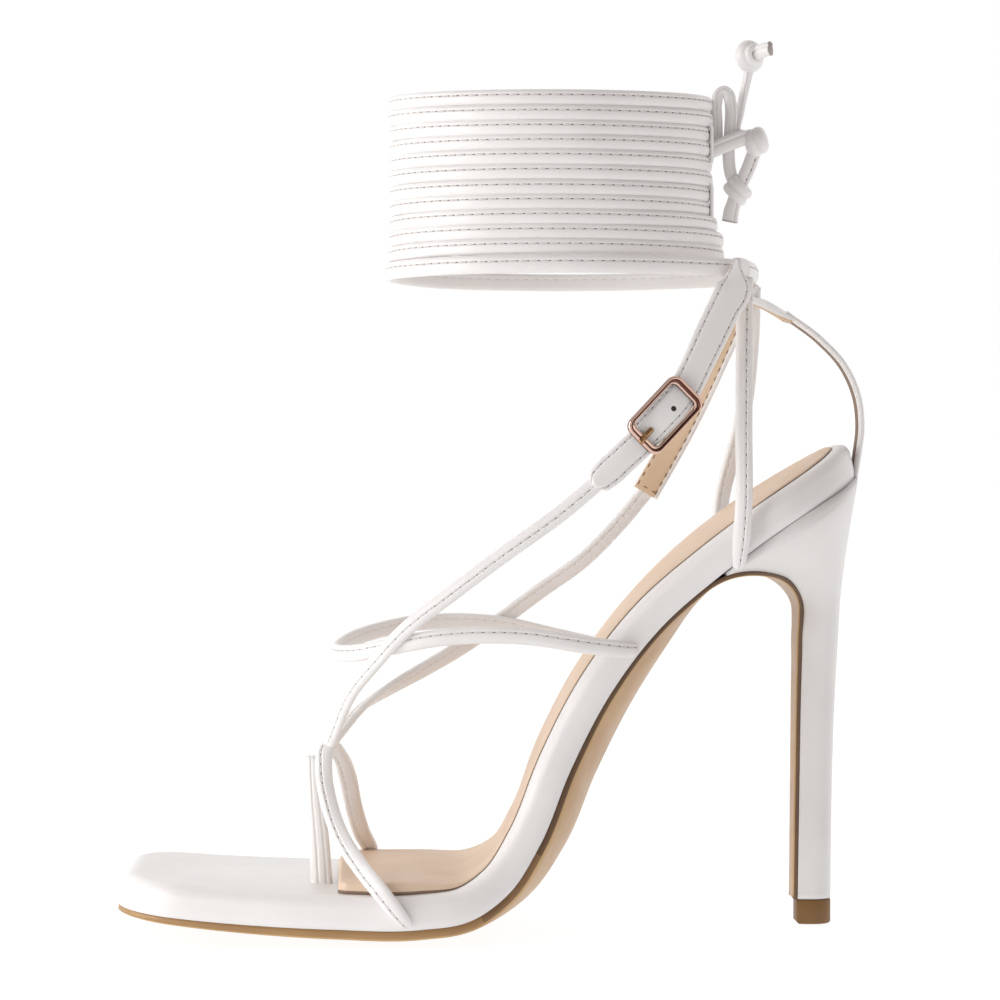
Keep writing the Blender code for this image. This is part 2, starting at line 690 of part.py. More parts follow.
def ankle_loop(name, row, collection):
    """A short sleeve of leather round the lowest turn of the wrap, where that turn is held."""
    turn = smooth(LOW_TURN, LOW_TURN_STEPS, closed=True)
    at = np.argmin(np.linalg.norm(turn - np.array(row), axis=1))
    middle = turn[at]
    along = unit(turn[(at + 1) % LOW_TURN_STEPS] - turn[at - 1])
    outward = unit(np.cross(along, (0.0, 0.0, 1.0)))
    up = np.cross(outward, along)
    reach_out = TURN_THICK / 2 + LOOP_CLEAR + LOOP_WALL / 2
    reach_up = TURN_WIDTH / 2 + LOOP_CLEAR + LOOP_WALL / 2
    angles = np.linspace(0.0, 2 * math.pi, LOOP_POINTS, endpoint=False)
    spread = np.sqrt(np.abs(np.stack([np.cos(angles), np.sin(angles)], 1)))
    spread *= np.sign(np.stack([np.cos(angles), np.sin(angles)], 1)).round()
    path = middle + spread[:, :1] * reach_out * outward + spread[:, 1:] * reach_up * up
    widths = np.full(len(path), LOOP_LENGTH)
    points, faces = band(path, widths, LOOP_WALL, path - middle, True)
    return add_mesh(name, points, faces, ("white_leather_straps", WHITE_LEATHER), collection)


def upper(collection, strap_collection):
    """The sandal's straps as one solid, joined where they cross."""
    body = strap("upper", MID_LOOP, LOOP_MIDDLE, MID_LOOP_STEPS, collection)
    for piece in STRAPS:
        strap(piece.name, piece.rows, piece.core, piece.steps, strap_collection)
    for name, row in LOOP_ROWS.items():
        ankle_loop(name, LOW_TURN[row], strap_collection)
    for piece in strap_collection.objects:
        piece.hide_render = True
        piece.display_type = "WIRE"
    union = body.modifiers.new("joined_straps", "BOOLEAN")
    union.operation = "UNION"
    union.solver = "EXACT"
    union.operand_type = "COLLECTION"
    union.collection = strap_collection
    return body


def ankle_wrap(collection):
    """The wound tie above the ankle: one wall whose outside bulges once for each turn."""
    angles = np.linspace(0.0, 2 * math.pi, WRAP_STEPS, endpoint=False)
    outer = [(turn / 2, WRAP_BULGE * (turn % 2)) for turn in range(2 * WRAP_TURNS + 1)]
    inner = [(float(turn), -WRAP_WALL) for turn in range(WRAP_TURNS, -1, -1)]
    loops = []
    for turns, bulge in outer + inner:
        low = np.clip(LOW_BACK_TURNS - turns, 0.0, 1.0) * LOW_BACK_REACH
        back = np.clip(np.cos(angles), 0.0, 1.0) * low
        x = WRAP_MIDDLE_X + (WRAP_HALF_LENGTH + bulge) * np.cos(angles) + back
        y = (WRAP_HALF_WIDTH + bulge) * np.sin(angles)
        tilt = math.tan(WRAP_TILT * turns / WRAP_TURNS)
        z = WRAP_BOTTOM + turns * WRAP_PITCH + tilt * (y + WRAP_HALF_WIDTH)
        loops.append(np.stack([x, y, z], 1))
    size = WRAP_STEPS
    faces = skin(len(loops), size)
    last = (len(loops) - 1) * size
    faces += [(last + i, last + (i + 1) % size, (i + 1) % size, i) for i in range(size)]
    return add_mesh("ankle_wrap", np.vstack(loops), faces, ("white_leather_ties", WHITE_LEATHER), collection)


def ankle_turn(collection):
    """The lowest turn of the tie, which passes through both ankle loops."""
    path = smooth(LOW_TURN, LOW_TURN_STEPS, closed=True)
    outward = path - np.array((WRAP_MIDDLE_X, 0.0, 0.0))
    outward[:, 2] = 0.0
    widths = np.full(len(path), TURN_WIDTH)
    points, faces = band(path, widths, TURN_THICK, outward, True)
    return add_mesh("ankle_turn_low", points, faces, ("white_leather_ties", WHITE_LEATHER), collection)


def buckle_axes():
    """Middle of the buckle, its long axis, its width axis and the direction away from the foot."""
    low = np.array(BUCKLE_LOW)
    high = np.array(BUCKLE_HIGH)
    along = unit(high - low)
    outward = np.array(BUCKLE_FACE)
    outward = unit(outward - along * (outward @ along))
    return (low + high) / 2, along, np.cross(outward, along), outward


def rounded_rectangle(length, width, radius):
    """Corner arcs of a rectangle with round corners, as points along and across."""
    points = []
    for corner in range(4):
        sign_x = (1, -1, -1, 1)[corner]
        sign_y = (1, 1, -1, -1)[corner]
        for turn in np.linspace(0.0, math.pi / 2, BUCKLE_CORNER_POINTS) + corner * math.pi / 2:
            along = sign_x * (length / 2 - radius) + radius * math.cos(turn)
            across = sign_y * (width / 2 - radius) + radius * math.sin(turn)
            points.append((along, across))
    return np.array(points)


def buckle_frame(collection):
    """Rounded rectangular frame of rose gold metal with bevelled faces."""
    middle, along, across, outward = buckle_axes()
    bevel = BUCKLE_THICK / 4
    half = BUCKLE_THICK / 2
    outer = ((0.0, -half), (0.0, half - bevel), (bevel, half))
    inner = ((BUCKLE_BAR - bevel, half), (BUCKLE_BAR, half - bevel), (BUCKLE_BAR, -half))
    loops = []
    for inwards, height in outer + inner:
        length = BUCKLE_LENGTH - 2 * inwards
        width = BUCKLE_WIDTH - 2 * inwards
        plan = rounded_rectangle(length, width, BUCKLE_ROUND - BUCKLE_ROUND_LOSS * inwards)
        loops.append(middle + plan[:, :1] * along + plan[:, 1:] * across + height * outward)
    size = len(loops[0])
    faces = skin(len(loops), size)
    last = (len(loops) - 1) * size
    faces += [(last + i, last + (i + 1) % size, (i + 1) % size, i) for i in range(size)]
    return add_mesh("buckle_frame", np.vstack(loops), faces, ("rose_gold", ROSE_GOLD), collection)


def tube(name, route, thick, finish, collection):
    """A round cord or rod along a smooth route, as a curve with filled ends."""
    curve = bpy.data.curves.new(name, "CURVE")
    curve.dimensions = "3D"
    curve.bevel_depth = thick / 2 * MM
    curve.bevel_resolution = 2
    curve.use_fill_caps = True
    line = smooth(route, TIE_POINTS_A_STEP * (len(route) - 1) + 1)
    spline = curve.splines.new("POLY")
    spline.points.add(len(line) - 1)
    for point, place in zip(spline.points, line):
        point.co = (*(place * MM), 1.0)
    curve.materials.append(material(*finish))
    made = bpy.data.objects.new(name, curve)
    collection.objects.link(made)
    return made


def buckle_prong(collection):
    """Short prong that stands from the lower bar of the buckle over the strap."""
    middle, along, _, _ = buckle_axes()
    start = middle - along * (BUCKLE_LENGTH / 2 - PRONG_FROM)
    route = [start + along * step for step in (0.0, (PRONG_TO - PRONG_FROM) / 2, PRONG_TO - PRONG_FROM)]
    return tube("buckle_prong", route, PRONG_THICK, ("rose_gold", ROSE_GOLD), collection)


def tie_knot(name, knot, collection):
    """A tight ball of knotted tie."""
    shape = bmesh.new()
    radius = knot.radius * MM
    bmesh.ops.create_uvsphere(shape, u_segments=KNOT_SEGMENTS, v_segments=KNOT_RINGS, radius=radius)
    mesh = bpy.data.meshes.new(name)
    shape.to_mesh(mesh)
    shape.free()
    mesh.shade_smooth()
    mesh.materials.append(material("white_leather_ties", WHITE_LEATHER))
    made = bpy.data.objects.new(name, mesh)
    made.location = Vector((knot.x, knot.y, knot.z)) * MM
    collection.objects.link(made)
    return made


def ties(collection):
    """Loop, strands, knots and cut ends of the tie behind the ankle."""
    finish = ("white_leather_ties", WHITE_LEATHER)
    routes = {
        "tie_loop": TIE_LOOP,
        "tie_strand_out": TIE_OUT,
        "tie_strand_up": TIE_UP,
        "tie_strand_link": TIE_LINK,
        "tie_tail_low": TIE_TAIL,
        "tie_tail_top": TIE_TIP,
    }
    for name, route in routes.items():
        tube(name, route, TIE_THICK, finish, collection)
    for name, knot in KNOTS.items():
        tie_knot(name, knot, collection)


def main():
    for old in list(bpy.data.objects):
        bpy.data.objects.remove(old, do_unlink=True)
    scene = bpy.context.scene
    sandal = bpy.data.collections.new("stiletto_sandal")
    joined_straps = bpy.data.collections.new("joined_straps")
    scene.collection.children.link(sandal)
    scene.collection.children.link(joined_straps)
    sole_line = Sweep(SOLE)
    outsole(sole_line, sandal)
    footbed(sole_line, sandal)
    insole(sole_line, sandal)
    heel(sole_line, sandal)
    heel_tip(sandal)
    upper(sandal, joined_straps)
    buckle_frame(sandal)
    buckle_prong(sandal)
    ankle_wrap(sandal)
    ankle_turn(sandal)
    ties(sandal)


main()
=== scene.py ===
"""Looks of the white stiletto sandal: leather, linings, stitches, buckle, knotted tie, light and camera.

Tables and sizes are in millimetres, in the frame of the solids: toe to -X, heel to +X, inner side to -Y,
floor at z = 0. Every surface is a function of two parameters, worked out as whole arrays.
"""
from collections import namedtuple
import math

import bmesh
import bpy
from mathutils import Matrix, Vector
import numpy as np


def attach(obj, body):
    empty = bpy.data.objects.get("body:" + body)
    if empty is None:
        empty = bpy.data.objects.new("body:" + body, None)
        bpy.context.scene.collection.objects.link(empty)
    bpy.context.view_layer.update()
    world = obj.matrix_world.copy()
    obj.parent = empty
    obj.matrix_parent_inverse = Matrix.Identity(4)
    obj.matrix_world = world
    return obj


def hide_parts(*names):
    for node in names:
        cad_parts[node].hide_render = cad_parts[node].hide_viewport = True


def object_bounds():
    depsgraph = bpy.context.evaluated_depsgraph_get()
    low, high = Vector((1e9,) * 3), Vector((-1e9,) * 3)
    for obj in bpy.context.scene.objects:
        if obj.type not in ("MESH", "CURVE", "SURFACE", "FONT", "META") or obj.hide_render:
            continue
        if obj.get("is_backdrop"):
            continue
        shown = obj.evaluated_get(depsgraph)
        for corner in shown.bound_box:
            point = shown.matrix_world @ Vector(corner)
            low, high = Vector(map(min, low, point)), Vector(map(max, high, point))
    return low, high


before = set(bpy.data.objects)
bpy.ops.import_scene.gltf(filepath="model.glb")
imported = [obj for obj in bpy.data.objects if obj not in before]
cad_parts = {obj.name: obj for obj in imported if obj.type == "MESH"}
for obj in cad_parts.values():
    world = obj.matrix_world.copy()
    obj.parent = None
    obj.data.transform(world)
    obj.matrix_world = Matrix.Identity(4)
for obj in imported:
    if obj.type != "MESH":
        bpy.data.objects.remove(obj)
CAD_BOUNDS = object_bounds()

MM = 0.001
GAP = 0.3
RANDOM = np.random.default_rng(7)
FINE_STEPS = 40

# Sole: one row for each station from toe to heel, along the lower edge of the footbed.
Station = namedtuple("Station", "x z inner outer crown edge slant")
SOLE = [
    Station(-96.6, 8.9, 31.0, 30.0, 0.0, 1.4, 0.0),
    Station(-70.0, 6.3, 34.5, 34.0, 1.6, 1.9, 0.0),
    Station(-42.0, 4.8, 37.0, 37.0, 2.2, 2.3, 0.0),
    Station(-20.0, 4.7, 38.0, 38.0, 2.4, 2.4, 0.01),
    Station(-7.0, 6.6, 36.6, 37.0, 3.0, 2.3, 0.05),
    Station(2.5, 12.8, 33.4, 34.6, 4.0, 2.1, 0.08),
    Station(10.0, 24.0, 29.2, 31.4, 5.0, 2.0, 0.075),
    Station(18.0, 43.0, 25.2, 28.2, 5.8, 1.8, 0.06),
    Station(28.0, 61.8, 22.8, 26.2, 5.8, 1.5, 0.055),
    Station(41.0, 78.7, 22.4, 25.6, 4.4, 1.2, 0.045),
    Station(56.0, 91.8, 24.2, 26.2, 0.8, 1.0, 0.0),
    Station(75.0, 106.0, 27.0, 27.4, 0.0, 1.0, 0.0),
    Station(94.5, 117.3, 27.0, 27.0, 0.0, 1.0, 0.0),
]
SWEEP_STEPS = 600
STATIONS_ALONG = 130
COLUMNS_ACROSS = 20
ACROSS = np.linspace(0.0, 1.0, COLUMNS_ACROSS + 1)[1:-1]
SLANT_FROM = -26.0
TOE_CORNER = 15.0
TOE_CORNER_POINTS = 14
SEAT_DEPTH = 25.0
SEAT_FLAT = 4.0
SEAT_POINTS = 22
SEAT_LEAN = 0.4
SEAT_RISE = 0.22
FOOTBED_THICK = 8.3
FOOTBED_ROUND = 4.0
FOOTBED_ROUND_POINTS = 9
FOOTBED_FOOT = 0.25
FOOTBED_FOOT_MIDDLE = 0.15
FOOTBED_SWELL = 0.25
FOOTBED_SWELL_AT = (0.4, 0.7)
OUTSOLE_INSET = 0.8
OUTSOLE_TOP = -0.05
OUTSOLE_BEVEL = 0.7
OUTSOLE_BEVEL_SHARE = 0.75
FORE_EDGE_TO = -4.0
BALL_EDGE_TO = 10.0
FLAP_START_X = 54.0
FLAP_STATIONS = 80
INSOLE_LIFT = 0.05
INSOLE_THICK = 0.6
INSOLE_CUSHION = 2.3
INSOLE_CUSHION_X = (-26.0, 2.0)
INSOLE_INSET = 4.4
INSOLE_FRONT_X = -41.0
INSOLE_INNER_CORNER = (2.5, 2.5)
INSOLE_OUTER_CORNER = (8.0, 15.0)
EdgeRow = namedtuple("EdgeRow", "inwards share")
INSOLE_EDGE = [
    EdgeRow(0.0, 0.0),
    EdgeRow(0.0, 0.3),
    EdgeRow(0.1, 0.62),
    EdgeRow(0.35, 0.86),
    EdgeRow(0.9, 1.0),
]

# Heel: one row for each section from the tip up.
HeelRow = namedtuple("HeelRow", "front_x front_z back_x back_z front_half side_half")
HEEL = [
    HeelRow(79.6, 6.6, 88.8, 6.6, 3.8, 4.4),
    HeelRow(79.9, 33.0, 89.1, 33.0, 4.3, 4.9),
    HeelRow(80.2, 59.0, 89.8, 58.0, 4.9, 5.7),
    HeelRow(80.4, 75.0, 90.7, 75.0, 5.9, 7.4),
    HeelRow(80.0, 85.6, 91.5, 89.0, 8.0, 11.0),
    HeelRow(76.2, 90.6, 92.9, 101.0, 13.0, 17.5),
    HeelRow(69.5, 92.9, 94.3, 110.0, 18.5, 23.0),
    HeelRow(61.4, 93.0, 95.2, 115.0, 22.8, 26.4),
    HeelRow(58.2, 92.2, 95.4, 116.0, 23.5, 26.8),
]
FLAP_SECTIONS = 21
HEEL_SECTIONS = 90
HEEL_FRONT_POINTS = 8
HEEL_BACK_POINTS = 26
HEEL_WIDEST = 0.45
HEEL_SEAT_GAP = 0.1
TIP_HEIGHT = 6.3
TIP_BEVEL = 0.35

# Straps: rows are x, y, z of the middle of the strap, and its width there.
StrapRow = namedtuple("StrapRow", "x y z width")
THIN = 4.4
WIDE = 7.6
TOE_POST = [
    StrapRow(-44.9, -13.0, 12.6, 5.6),
    StrapRow(-45.6, -13.0, 24.0, 5.2),
    StrapRow(-46.6, -13.2, 35.0, 4.4),
    StrapRow(-47.2, -13.4, 45.8, 3.6),
]
TOE_STRAP = [
    StrapRow(-22.9, -36.4, 5.4, 2.6),
    StrapRow(-24.2, -38.6, 7.0, 3.4),
    StrapRow(-26.2, -39.4, 9.4, 4.0),
    StrapRow(-29.4, -39.0, 13.4, THIN),
    StrapRow(-34.7, -34.4, 19.5, THIN),
    StrapRow(-40.0, -28.2, 27.0, THIN),
    StrapRow(-43.0, -22.2, 34.6, THIN),
    StrapRow(-44.4, -16.8, 42.6, THIN),
    StrapRow(-43.9, -13.4, 47.4, THIN),
    StrapRow(-42.4, -10.6, 48.3, THIN),
    StrapRow(-40.5, -7.0, 45.6, THIN),
    StrapRow(-38.5, 2.0, 39.4, 4.8),
    StrapRow(-36.9, 12.0, 30.4, 4.8),
    StrapRow(-34.6, 24.0, 21.5, 4.8),
    StrapRow(-32.3, 33.6, 15.8, THIN),
    StrapRow(-31.2, 39.3, 10.8, THIN),
    StrapRow(-30.8, 39.6, 6.4, THIN),
]
INSTEP_INNER = [
    StrapRow(-43.4, -12.6, 48.6, THIN),
    StrapRow(-37.5, -18.0, 62.4, THIN),
    StrapRow(-31.1, -21.8, 70.6, THIN),
    StrapRow(-24.6, -24.6, 77.9, THIN),
    StrapRow(-11.8, -28.8, 88.3, THIN),
    StrapRow(1.0, -31.0, 98.0, THIN),
    StrapRow(15.0, -32.8, 108.2, THIN),
    StrapRow(28.0, -33.5, 119.2, THIN),
]
INSTEP_OUTER = [
    StrapRow(-43.2, -13.0, 49.0, THIN),
    StrapRow(-34.1, 0.0, 57.6, THIN),
    StrapRow(-27.4, 8.0, 61.3, THIN),
    StrapRow(-16.8, 18.5, 66.4, THIN),
    StrapRow(-9.9, 24.4, 69.9, THIN),
    StrapRow(0.0, 30.0, 75.9, THIN),
    StrapRow(14.8, 32.6, 86.5, THIN),
    StrapRow(25.5, 33.0, 94.1, THIN),
    StrapRow(36.0, 33.4, 104.5, THIN),
    StrapRow(43.6, 33.4, 113.6, THIN),
]
MID_LOOP = [
    StrapRow(35.2, -18.4, 73.6, 3.0),
    StrapRow(34.2, -23.2, 73.4, 3.8),
    StrapRow(30.8, -26.0, 73.7, THIN),
    StrapRow(23.7, -27.4, 74.6, THIN),
    StrapRow(4.3, -29.0, 77.4, THIN),
    StrapRow(-15.0, -27.0, 76.8, THIN),
    StrapRow(-26.0, -22.6, 74.6, THIN),
    StrapRow(-36.0, -13.6, 72.2, THIN),
    StrapRow(-41.4, 0.0, 71.8, THIN),
    StrapRow(-36.0, 14.6, 74.6, THIN),
    StrapRow(-20.1, 25.0, 77.8, THIN),
    StrapRow(0.6, 29.0, 77.6, THIN),
    StrapRow(21.6, 29.4, 73.2, THIN),
    StrapRow(33.4, 28.2, 70.6, THIN),
]
BUCKLE_TAB = [
    StrapRow(23.4, -34.2, 115.1, 2.4),
    StrapRow(24.2, -34.2, 115.9, 5.6),
    StrapRow(26.0, -34.2, 117.6, 7.2),
    StrapRow(30.5, -34.2, 121.8, WIDE),
    StrapRow(36.6, -34.0, 127.4, WIDE),
]
SIDE_STRAP_INNER = [
    StrapRow(33.6, -32.2, 124.8, 6.4),
    StrapRow(36.3, -33.9, 128.3, 8.4),
    StrapRow(40.4, -34.4, 132.8, 8.8),
    StrapRow(44.0, -33.6, 136.7, 8.8),
    StrapRow(47.2, -31.5, 140.8, 8.2),
    StrapRow(50.3, -30.2, 146.8, 8.2),
    StrapRow(53.6, -28.8, 153.5, 8.6),
    StrapRow(56.9, -27.2, 160.0, 8.6),
    StrapRow(60.0, -25.6, 166.2, 8.4),
    StrapRow(60.2, -25.0, 169.0, 4.6),
    StrapRow(60.4, -24.6, 173.0, 0.4),
]
SIDE_STRAP_OUTER = [
    StrapRow(42.9, 30.8, 113.0, WIDE),
    StrapRow(53.9, 28.8, 132.4, WIDE),
    StrapRow(61.6, 24.4, 148.6, WIDE),
    StrapRow(67.4, 20.2, 162.0, WIDE),
    StrapRow(71.0, 18.7, 169.6, 5.0),
]
STAY_INNER = [
    StrapRow(60.9, -25.6, 94.2, 2.8),
    StrapRow(61.0, -26.9, 96.6, 3.6),
    StrapRow(61.3, -27.7, 100.6, THIN),
    StrapRow(61.9, -27.9, 109.3, THIN),
    StrapRow(62.3, -25.4, 129.5, THIN),
    StrapRow(62.9, -21.6, 152.6, THIN),
    StrapRow(63.6, -17.4, 168.4, THIN),
]
STAY_OUTER = [
    StrapRow(62.5, 28.0, 97.4, THIN),
    StrapRow(63.5, 28.4, 110.0, THIN),
    StrapRow(68.9, 24.0, 134.3, THIN),
    StrapRow(70.6, 20.0, 156.1, THIN),
    StrapRow(70.7, 18.2, 168.4, THIN),
]
SLING = [
    StrapRow(76.6, 0.0, 160.2, WIDE),
    StrapRow(85.9, 0.0, 153.3, WIDE),
    StrapRow(92.0, 0.0, 146.7, WIDE),
    StrapRow(95.6, 0.0, 138.9, WIDE),
    StrapRow(96.6, 0.0, 130.2, WIDE),
    StrapRow(95.9, 0.0, 123.8, WIDE),
    StrapRow(95.2, 0.0, 119.4, WIDE),
    StrapRow(94.8, 0.0, 117.0, WIDE),
]
SLING_FORK_INNER = [
    StrapRow(63.6, -19.6, 163.4, 4.2),
    StrapRow(69.4, -10.0, 161.8, 4.2),
    StrapRow(77.4, -1.2, 158.8, 4.2),
]
SLING_FORK_OUTER = [
    StrapRow(70.8, 19.6, 165.4, 4.2),
    StrapRow(73.8, 9.8, 163.0, 4.2),
    StrapRow(78.6, 1.2, 158.6, 4.2),
]

# Core lines that the straps lie around: each strap turns its outer face away from its line.
TOES = ((-80.0, -12.0, 20.0), (-10.0, -12.0, 20.0))
TOE_CLEFT = ((-46.0, 20.0, 0.0), (-46.0, 20.0, 60.0))
INSTEP = ((-60.0, 0.0, 20.0), (40.0, 0.0, 104.0))
LOOP_MIDDLE = ((0.0, 0.0, 40.0), (0.0, 0.0, 100.0))
LEG = ((36.0, 0.0, 90.0), (30.0, 0.0, 200.0))
INNER_SIDE = ((16.0, 0.0, 90.0), (76.5, 0.0, 200.0))
HEEL_BONE = ((72.0, 0.0, 90.0), (66.0, 0.0, 170.0))
HEEL_ACROSS = ((70.0, -20.0, 134.0), (70.0, 20.0, 134.0))
ANKLE_BACK = ((60.0, 0.0, 148.0), (90.0, 0.0, 148.0))

# Strap sections: thickness, and the stitched grooves and the lining as shares of the half width.
Section = namedtuple("Section", "thick grooves lining")
ROLLED = Section(2.3, (0.32,), 0.0)
ROLLED_LOW = Section(2.3, (-0.32,), 0.0)
POST = Section(3.4, (-0.3, 0.45), 0.0)
FLAT = Section(2.0, (-0.72, 0.72), 0.0)
LINED = Section(2.0, (-0.72, 0.72), 0.8)
SLING_LINED = Section(1.9, (), 0.55)
FORK_LINED = Section(1.9, (), 0.92)
OUTER_POINTS = 37
INNER_POINTS = 19
GROOVE_DEPTH = 0.32
GROOVE_REACH = 0.22
INNER_GROOVE = 0.6
PILLOW = 2.6
INNER_PILLOW = 5
STRAP_STEP = 0.7
Strap = namedtuple("Strap", "name rows core section")
STRAPS = [
    Strap("toe_post", TOE_POST, TOE_CLEFT, POST),
    Strap("toe_strap", TOE_STRAP, TOES, ROLLED_LOW),
    Strap("instep_strap_inner", INSTEP_INNER, INSTEP, ROLLED),
    Strap("instep_strap_outer", INSTEP_OUTER, INSTEP, ROLLED),
    Strap("mid_loop", MID_LOOP, LOOP_MIDDLE, ROLLED),
    Strap("buckle_tab", BUCKLE_TAB, LEG, FLAT),
    Strap("side_strap_inner", SIDE_STRAP_INNER, INNER_SIDE, LINED),
    Strap("side_strap_outer", SIDE_STRAP_OUTER, LEG, LINED),
    Strap("stay_inner", STAY_INNER, HEEL_BONE, ROLLED),
    Strap("stay_outer", STAY_OUTER, HEEL_BONE, ROLLED),
    Strap("sling", SLING, HEEL_ACROSS, SLING_LINED),
    Strap("sling_fork_inner", SLING_FORK_INNER, ANKLE_BACK, FORK_LINED),
    Strap("sling_fork_outer", SLING_FORK_OUTER, ANKLE_BACK, FORK_LINED),
]

# Stitches: pitch along the row, length and thickness of a thread, and how far its ends sink.
STITCH_PITCH = 2.7
STITCH_START = 0.6
STITCH_LENGTH = 1.7
STITCH_RADIUS = 0.18
STITCH_SINK = 0.3
THREAD_DEPTH = 0.7
INNER_THREAD_DEPTH = 0.75
# size of the dark gems that paint the shadows of the needle holes
STITCH_SHADOW_SIZE = (0.5, 0.17, 0.1)
STITCH_RINGS = np.array([-0.5, -0.36, 0.0, 0.36, 0.5])
STITCH_TAPER = np.array([0.5, 0.95, 1.0, 0.95, 0.5])
STITCH_SIDES = 5
END_ROW_IN = 1.4
END_ROW_SINK = 0.1
END_ROW_POINTS = 24

# Ankle wrap: eleven turns of the tie, and the lowest turn, which runs through the two ankle loops.
WRAP_TURNS = 11
WRAP_MIDDLE_X = 14.8
WRAP_HALF_LENGTH = 41.25
WRAP_HALF_WIDTH = 34.85
WRAP_BOTTOM = 173.2
WRAP_PITCH = 3.72
WRAP_OVERLAP = 0.12
WRAP_THICK = 2.3
WRAP_SECTION = Section(WRAP_THICK, (-0.3,), 0.0)
WRAP_TILT = math.radians(4.0)
WRAP_STEPS = 130
WRAP_JITTER = 0.22
WRAP_WAVE = 0.1
WAVE_PHASE = 3.0
WRAP_RIPPLE = 0.08
RIPPLE_PHASE = 5.0
LOW_BACK_REACH = 3.0
LOW_BACK_TURNS = 2.5
TURN_WIDTH = 4.7
TURN_THICK = 2.2
TURN_SECTION = Section(TURN_THICK, (-0.3,), 0.0)
TURN_STEPS = 260
TurnRow = namedtuple("TurnRow", "x y z")
LOW_TURN = [
    TurnRow(-27.6, 0.0, 170.8),
    TurnRow(-14.5, -25.6, 170.6),
    TurnRow(14.0, -36.2, 170.6),
    TurnRow(44.0, -30.0, 170.8),
    TurnRow(62.5, -17.5, 170.8),
    TurnRow(68.1, -1.0, 171.0),
    TurnRow(69.2, 16.8, 171.2),
    TurnRow(48.0, 30.4, 170.8),
    TurnRow(14.0, 36.2, 170.6),
    TurnRow(-14.5, 25.6, 170.6),
]
BINDING_TURN = math.radians(-14.0)
BINDING_SPANS = ((182.6, 193.8), (198.2, 209.2))
BINDING_WIDTH = 2.5
BINDING_SECTION = Section(0.9, (), 0.0)
BINDING_PROUD = 0.25
BINDING_TUCK = 1.6
BINDING_TUCK_POWER = 14
BINDING_STEPS = 40
LOOP_ROWS = {"ankle_loop_inner": 4, "ankle_loop_outer": 6}
LOOP_CLEAR = -0.25
LOOP_WALL = 0.7
LOOP_SECTION = Section(LOOP_WALL, (-0.78, 0.78), 0.0)
LOOP_SQUARENESS = 0.7
LOOP_LENGTH = 5.6
LOOP_STEPS = 64

# Buckle: frame, prong and the strap's hole, which is a disc of painted shadow.
BUCKLE_LOW = (35.0, -36.2, 126.5)
BUCKLE_HIGH = (47.2, -33.9, 139.3)
BUCKLE_FACE = (0.2, -1.0, 0.0)
BUCKLE_LENGTH = 19.2
BUCKLE_WIDTH = 11.3
BUCKLE_END_BAR = 1.2
BUCKLE_SIDE_BAR = 0.75
BUCKLE_ROUND = 2.6
BUCKLE_ROUND_LOSS = 0.6
BUCKLE_CORNER_POINTS = 12
BUCKLE_SIDE_POINTS = 6
RimRow = namedtuple("RimRow", "inwards height finish")
# rows with finish 1 take the painted dark reflection, rows with finish 0 plain rose gold
BUCKLE_RIM = [
    RimRow(0.1, -0.9, 1),
    RimRow(0.0, -0.6, 1),
    RimRow(0.0, 0.4, 0),
    RimRow(0.1, 0.75, 0),
    RimRow(0.35, 0.92, 0),
    RimRow(0.6, 0.84, 1),
    RimRow(0.75, 0.5, 1),
    RimRow(0.85, 0.2, 1),
    RimRow(1.1, 0.1, 0),
    RimRow(1.25, 0.3, 0),
    RimRow(1.5, 0.34, 0),
    RimRow(1.7, 0.2, 1),
    RimRow(1.8, -0.2, 1),
    RimRow(1.75, -0.8, 1),
    RimRow(1.65, -0.9, 1),
]
PRONG_FROM = -0.4
PRONG_TO = 5.0
PRONG_RADIUS = 0.75
PRONG_LIFT = 1.1
PRONG_CURL = 2.2
PRONG_CLEAR = 0.1
PRONG_BLUNT = 10
PRONG_END = 0.02
PRONG_STEPS = 30
PRONG_SIDES = 16
HOLE_SHARE = 0.24
HOLE_RADIUS = 0.68
HOLE_ASIDE = 0.9
HOLE_POINTS = 28
HoleRing = namedtuple("HoleRing", "share height")
HOLE_RINGS = [HoleRing(1.0, 0.7), HoleRing(1.0, 1.02), HoleRing(0.8, 1.06)]

# Tie ends behind the ankle: routes of the cords, and the knots by their middle, axis and rings.
TieRow = namedtuple("TieRow", "x y z width")
TIE_FACE = (0.25, -1.0, 0.1)
TIE_SECTION = Section(2.3, (-0.3,), 0.0)
TIE_LOOP = [
    TieRow(58.8, 0.4, 202.4, 3.0),
    TieRow(58.7, 0.4, 210.2, 3.0),
    TieRow(58.6, 0.3, 215.8, 3.0),
    TieRow(59.1, 0.2, 217.8, 3.0),
    TieRow(60.4, 0.1, 218.7, 3.0),
    TieRow(61.7, 0.0, 217.8, 3.1),
    TieRow(62.2, 0.0, 215.8, 3.2),
    TieRow(62.2, -0.2, 209.0, 3.3),
    TieRow(61.7, -0.4, 202.0, 3.3),
    TieRow(62.2, -0.6, 197.0, 3.3),
    TieRow(63.6, -0.8, 193.0, 3.4),
    TieRow(63.0, -1.2, 189.4, 3.8),
    TieRow(62.2, -1.6, 186.8, 4.2),
    TieRow(61.8, -1.9, 184.3, 4.4),
]
TIE_END = [
    TieRow(55.8, -5.6, 202.2, 4.2),
    TieRow(60.4, -4.8, 204.2, 4.2),
    TieRow(64.4, -3.8, 205.8, 4.2),
    TieRow(66.8, -1.4, 206.6, 3.4),
    TieRow(64.1, 2.0, 208.2, 2.4),
    TieRow(65.0, 2.6, 213.2, 2.3),
    TieRow(66.1, 2.5, 218.4, 2.3),
    TieRow(67.2, 2.2, 223.4, 2.4),
    TieRow(67.9, 1.6, 227.8, 3.4),
    TieRow(69.4, -0.6, 228.8, 3.8),
    TieRow(70.8, -2.2, 229.2, 3.8),
    TieRow(72.2, -3.6, 229.4, 3.8),
]
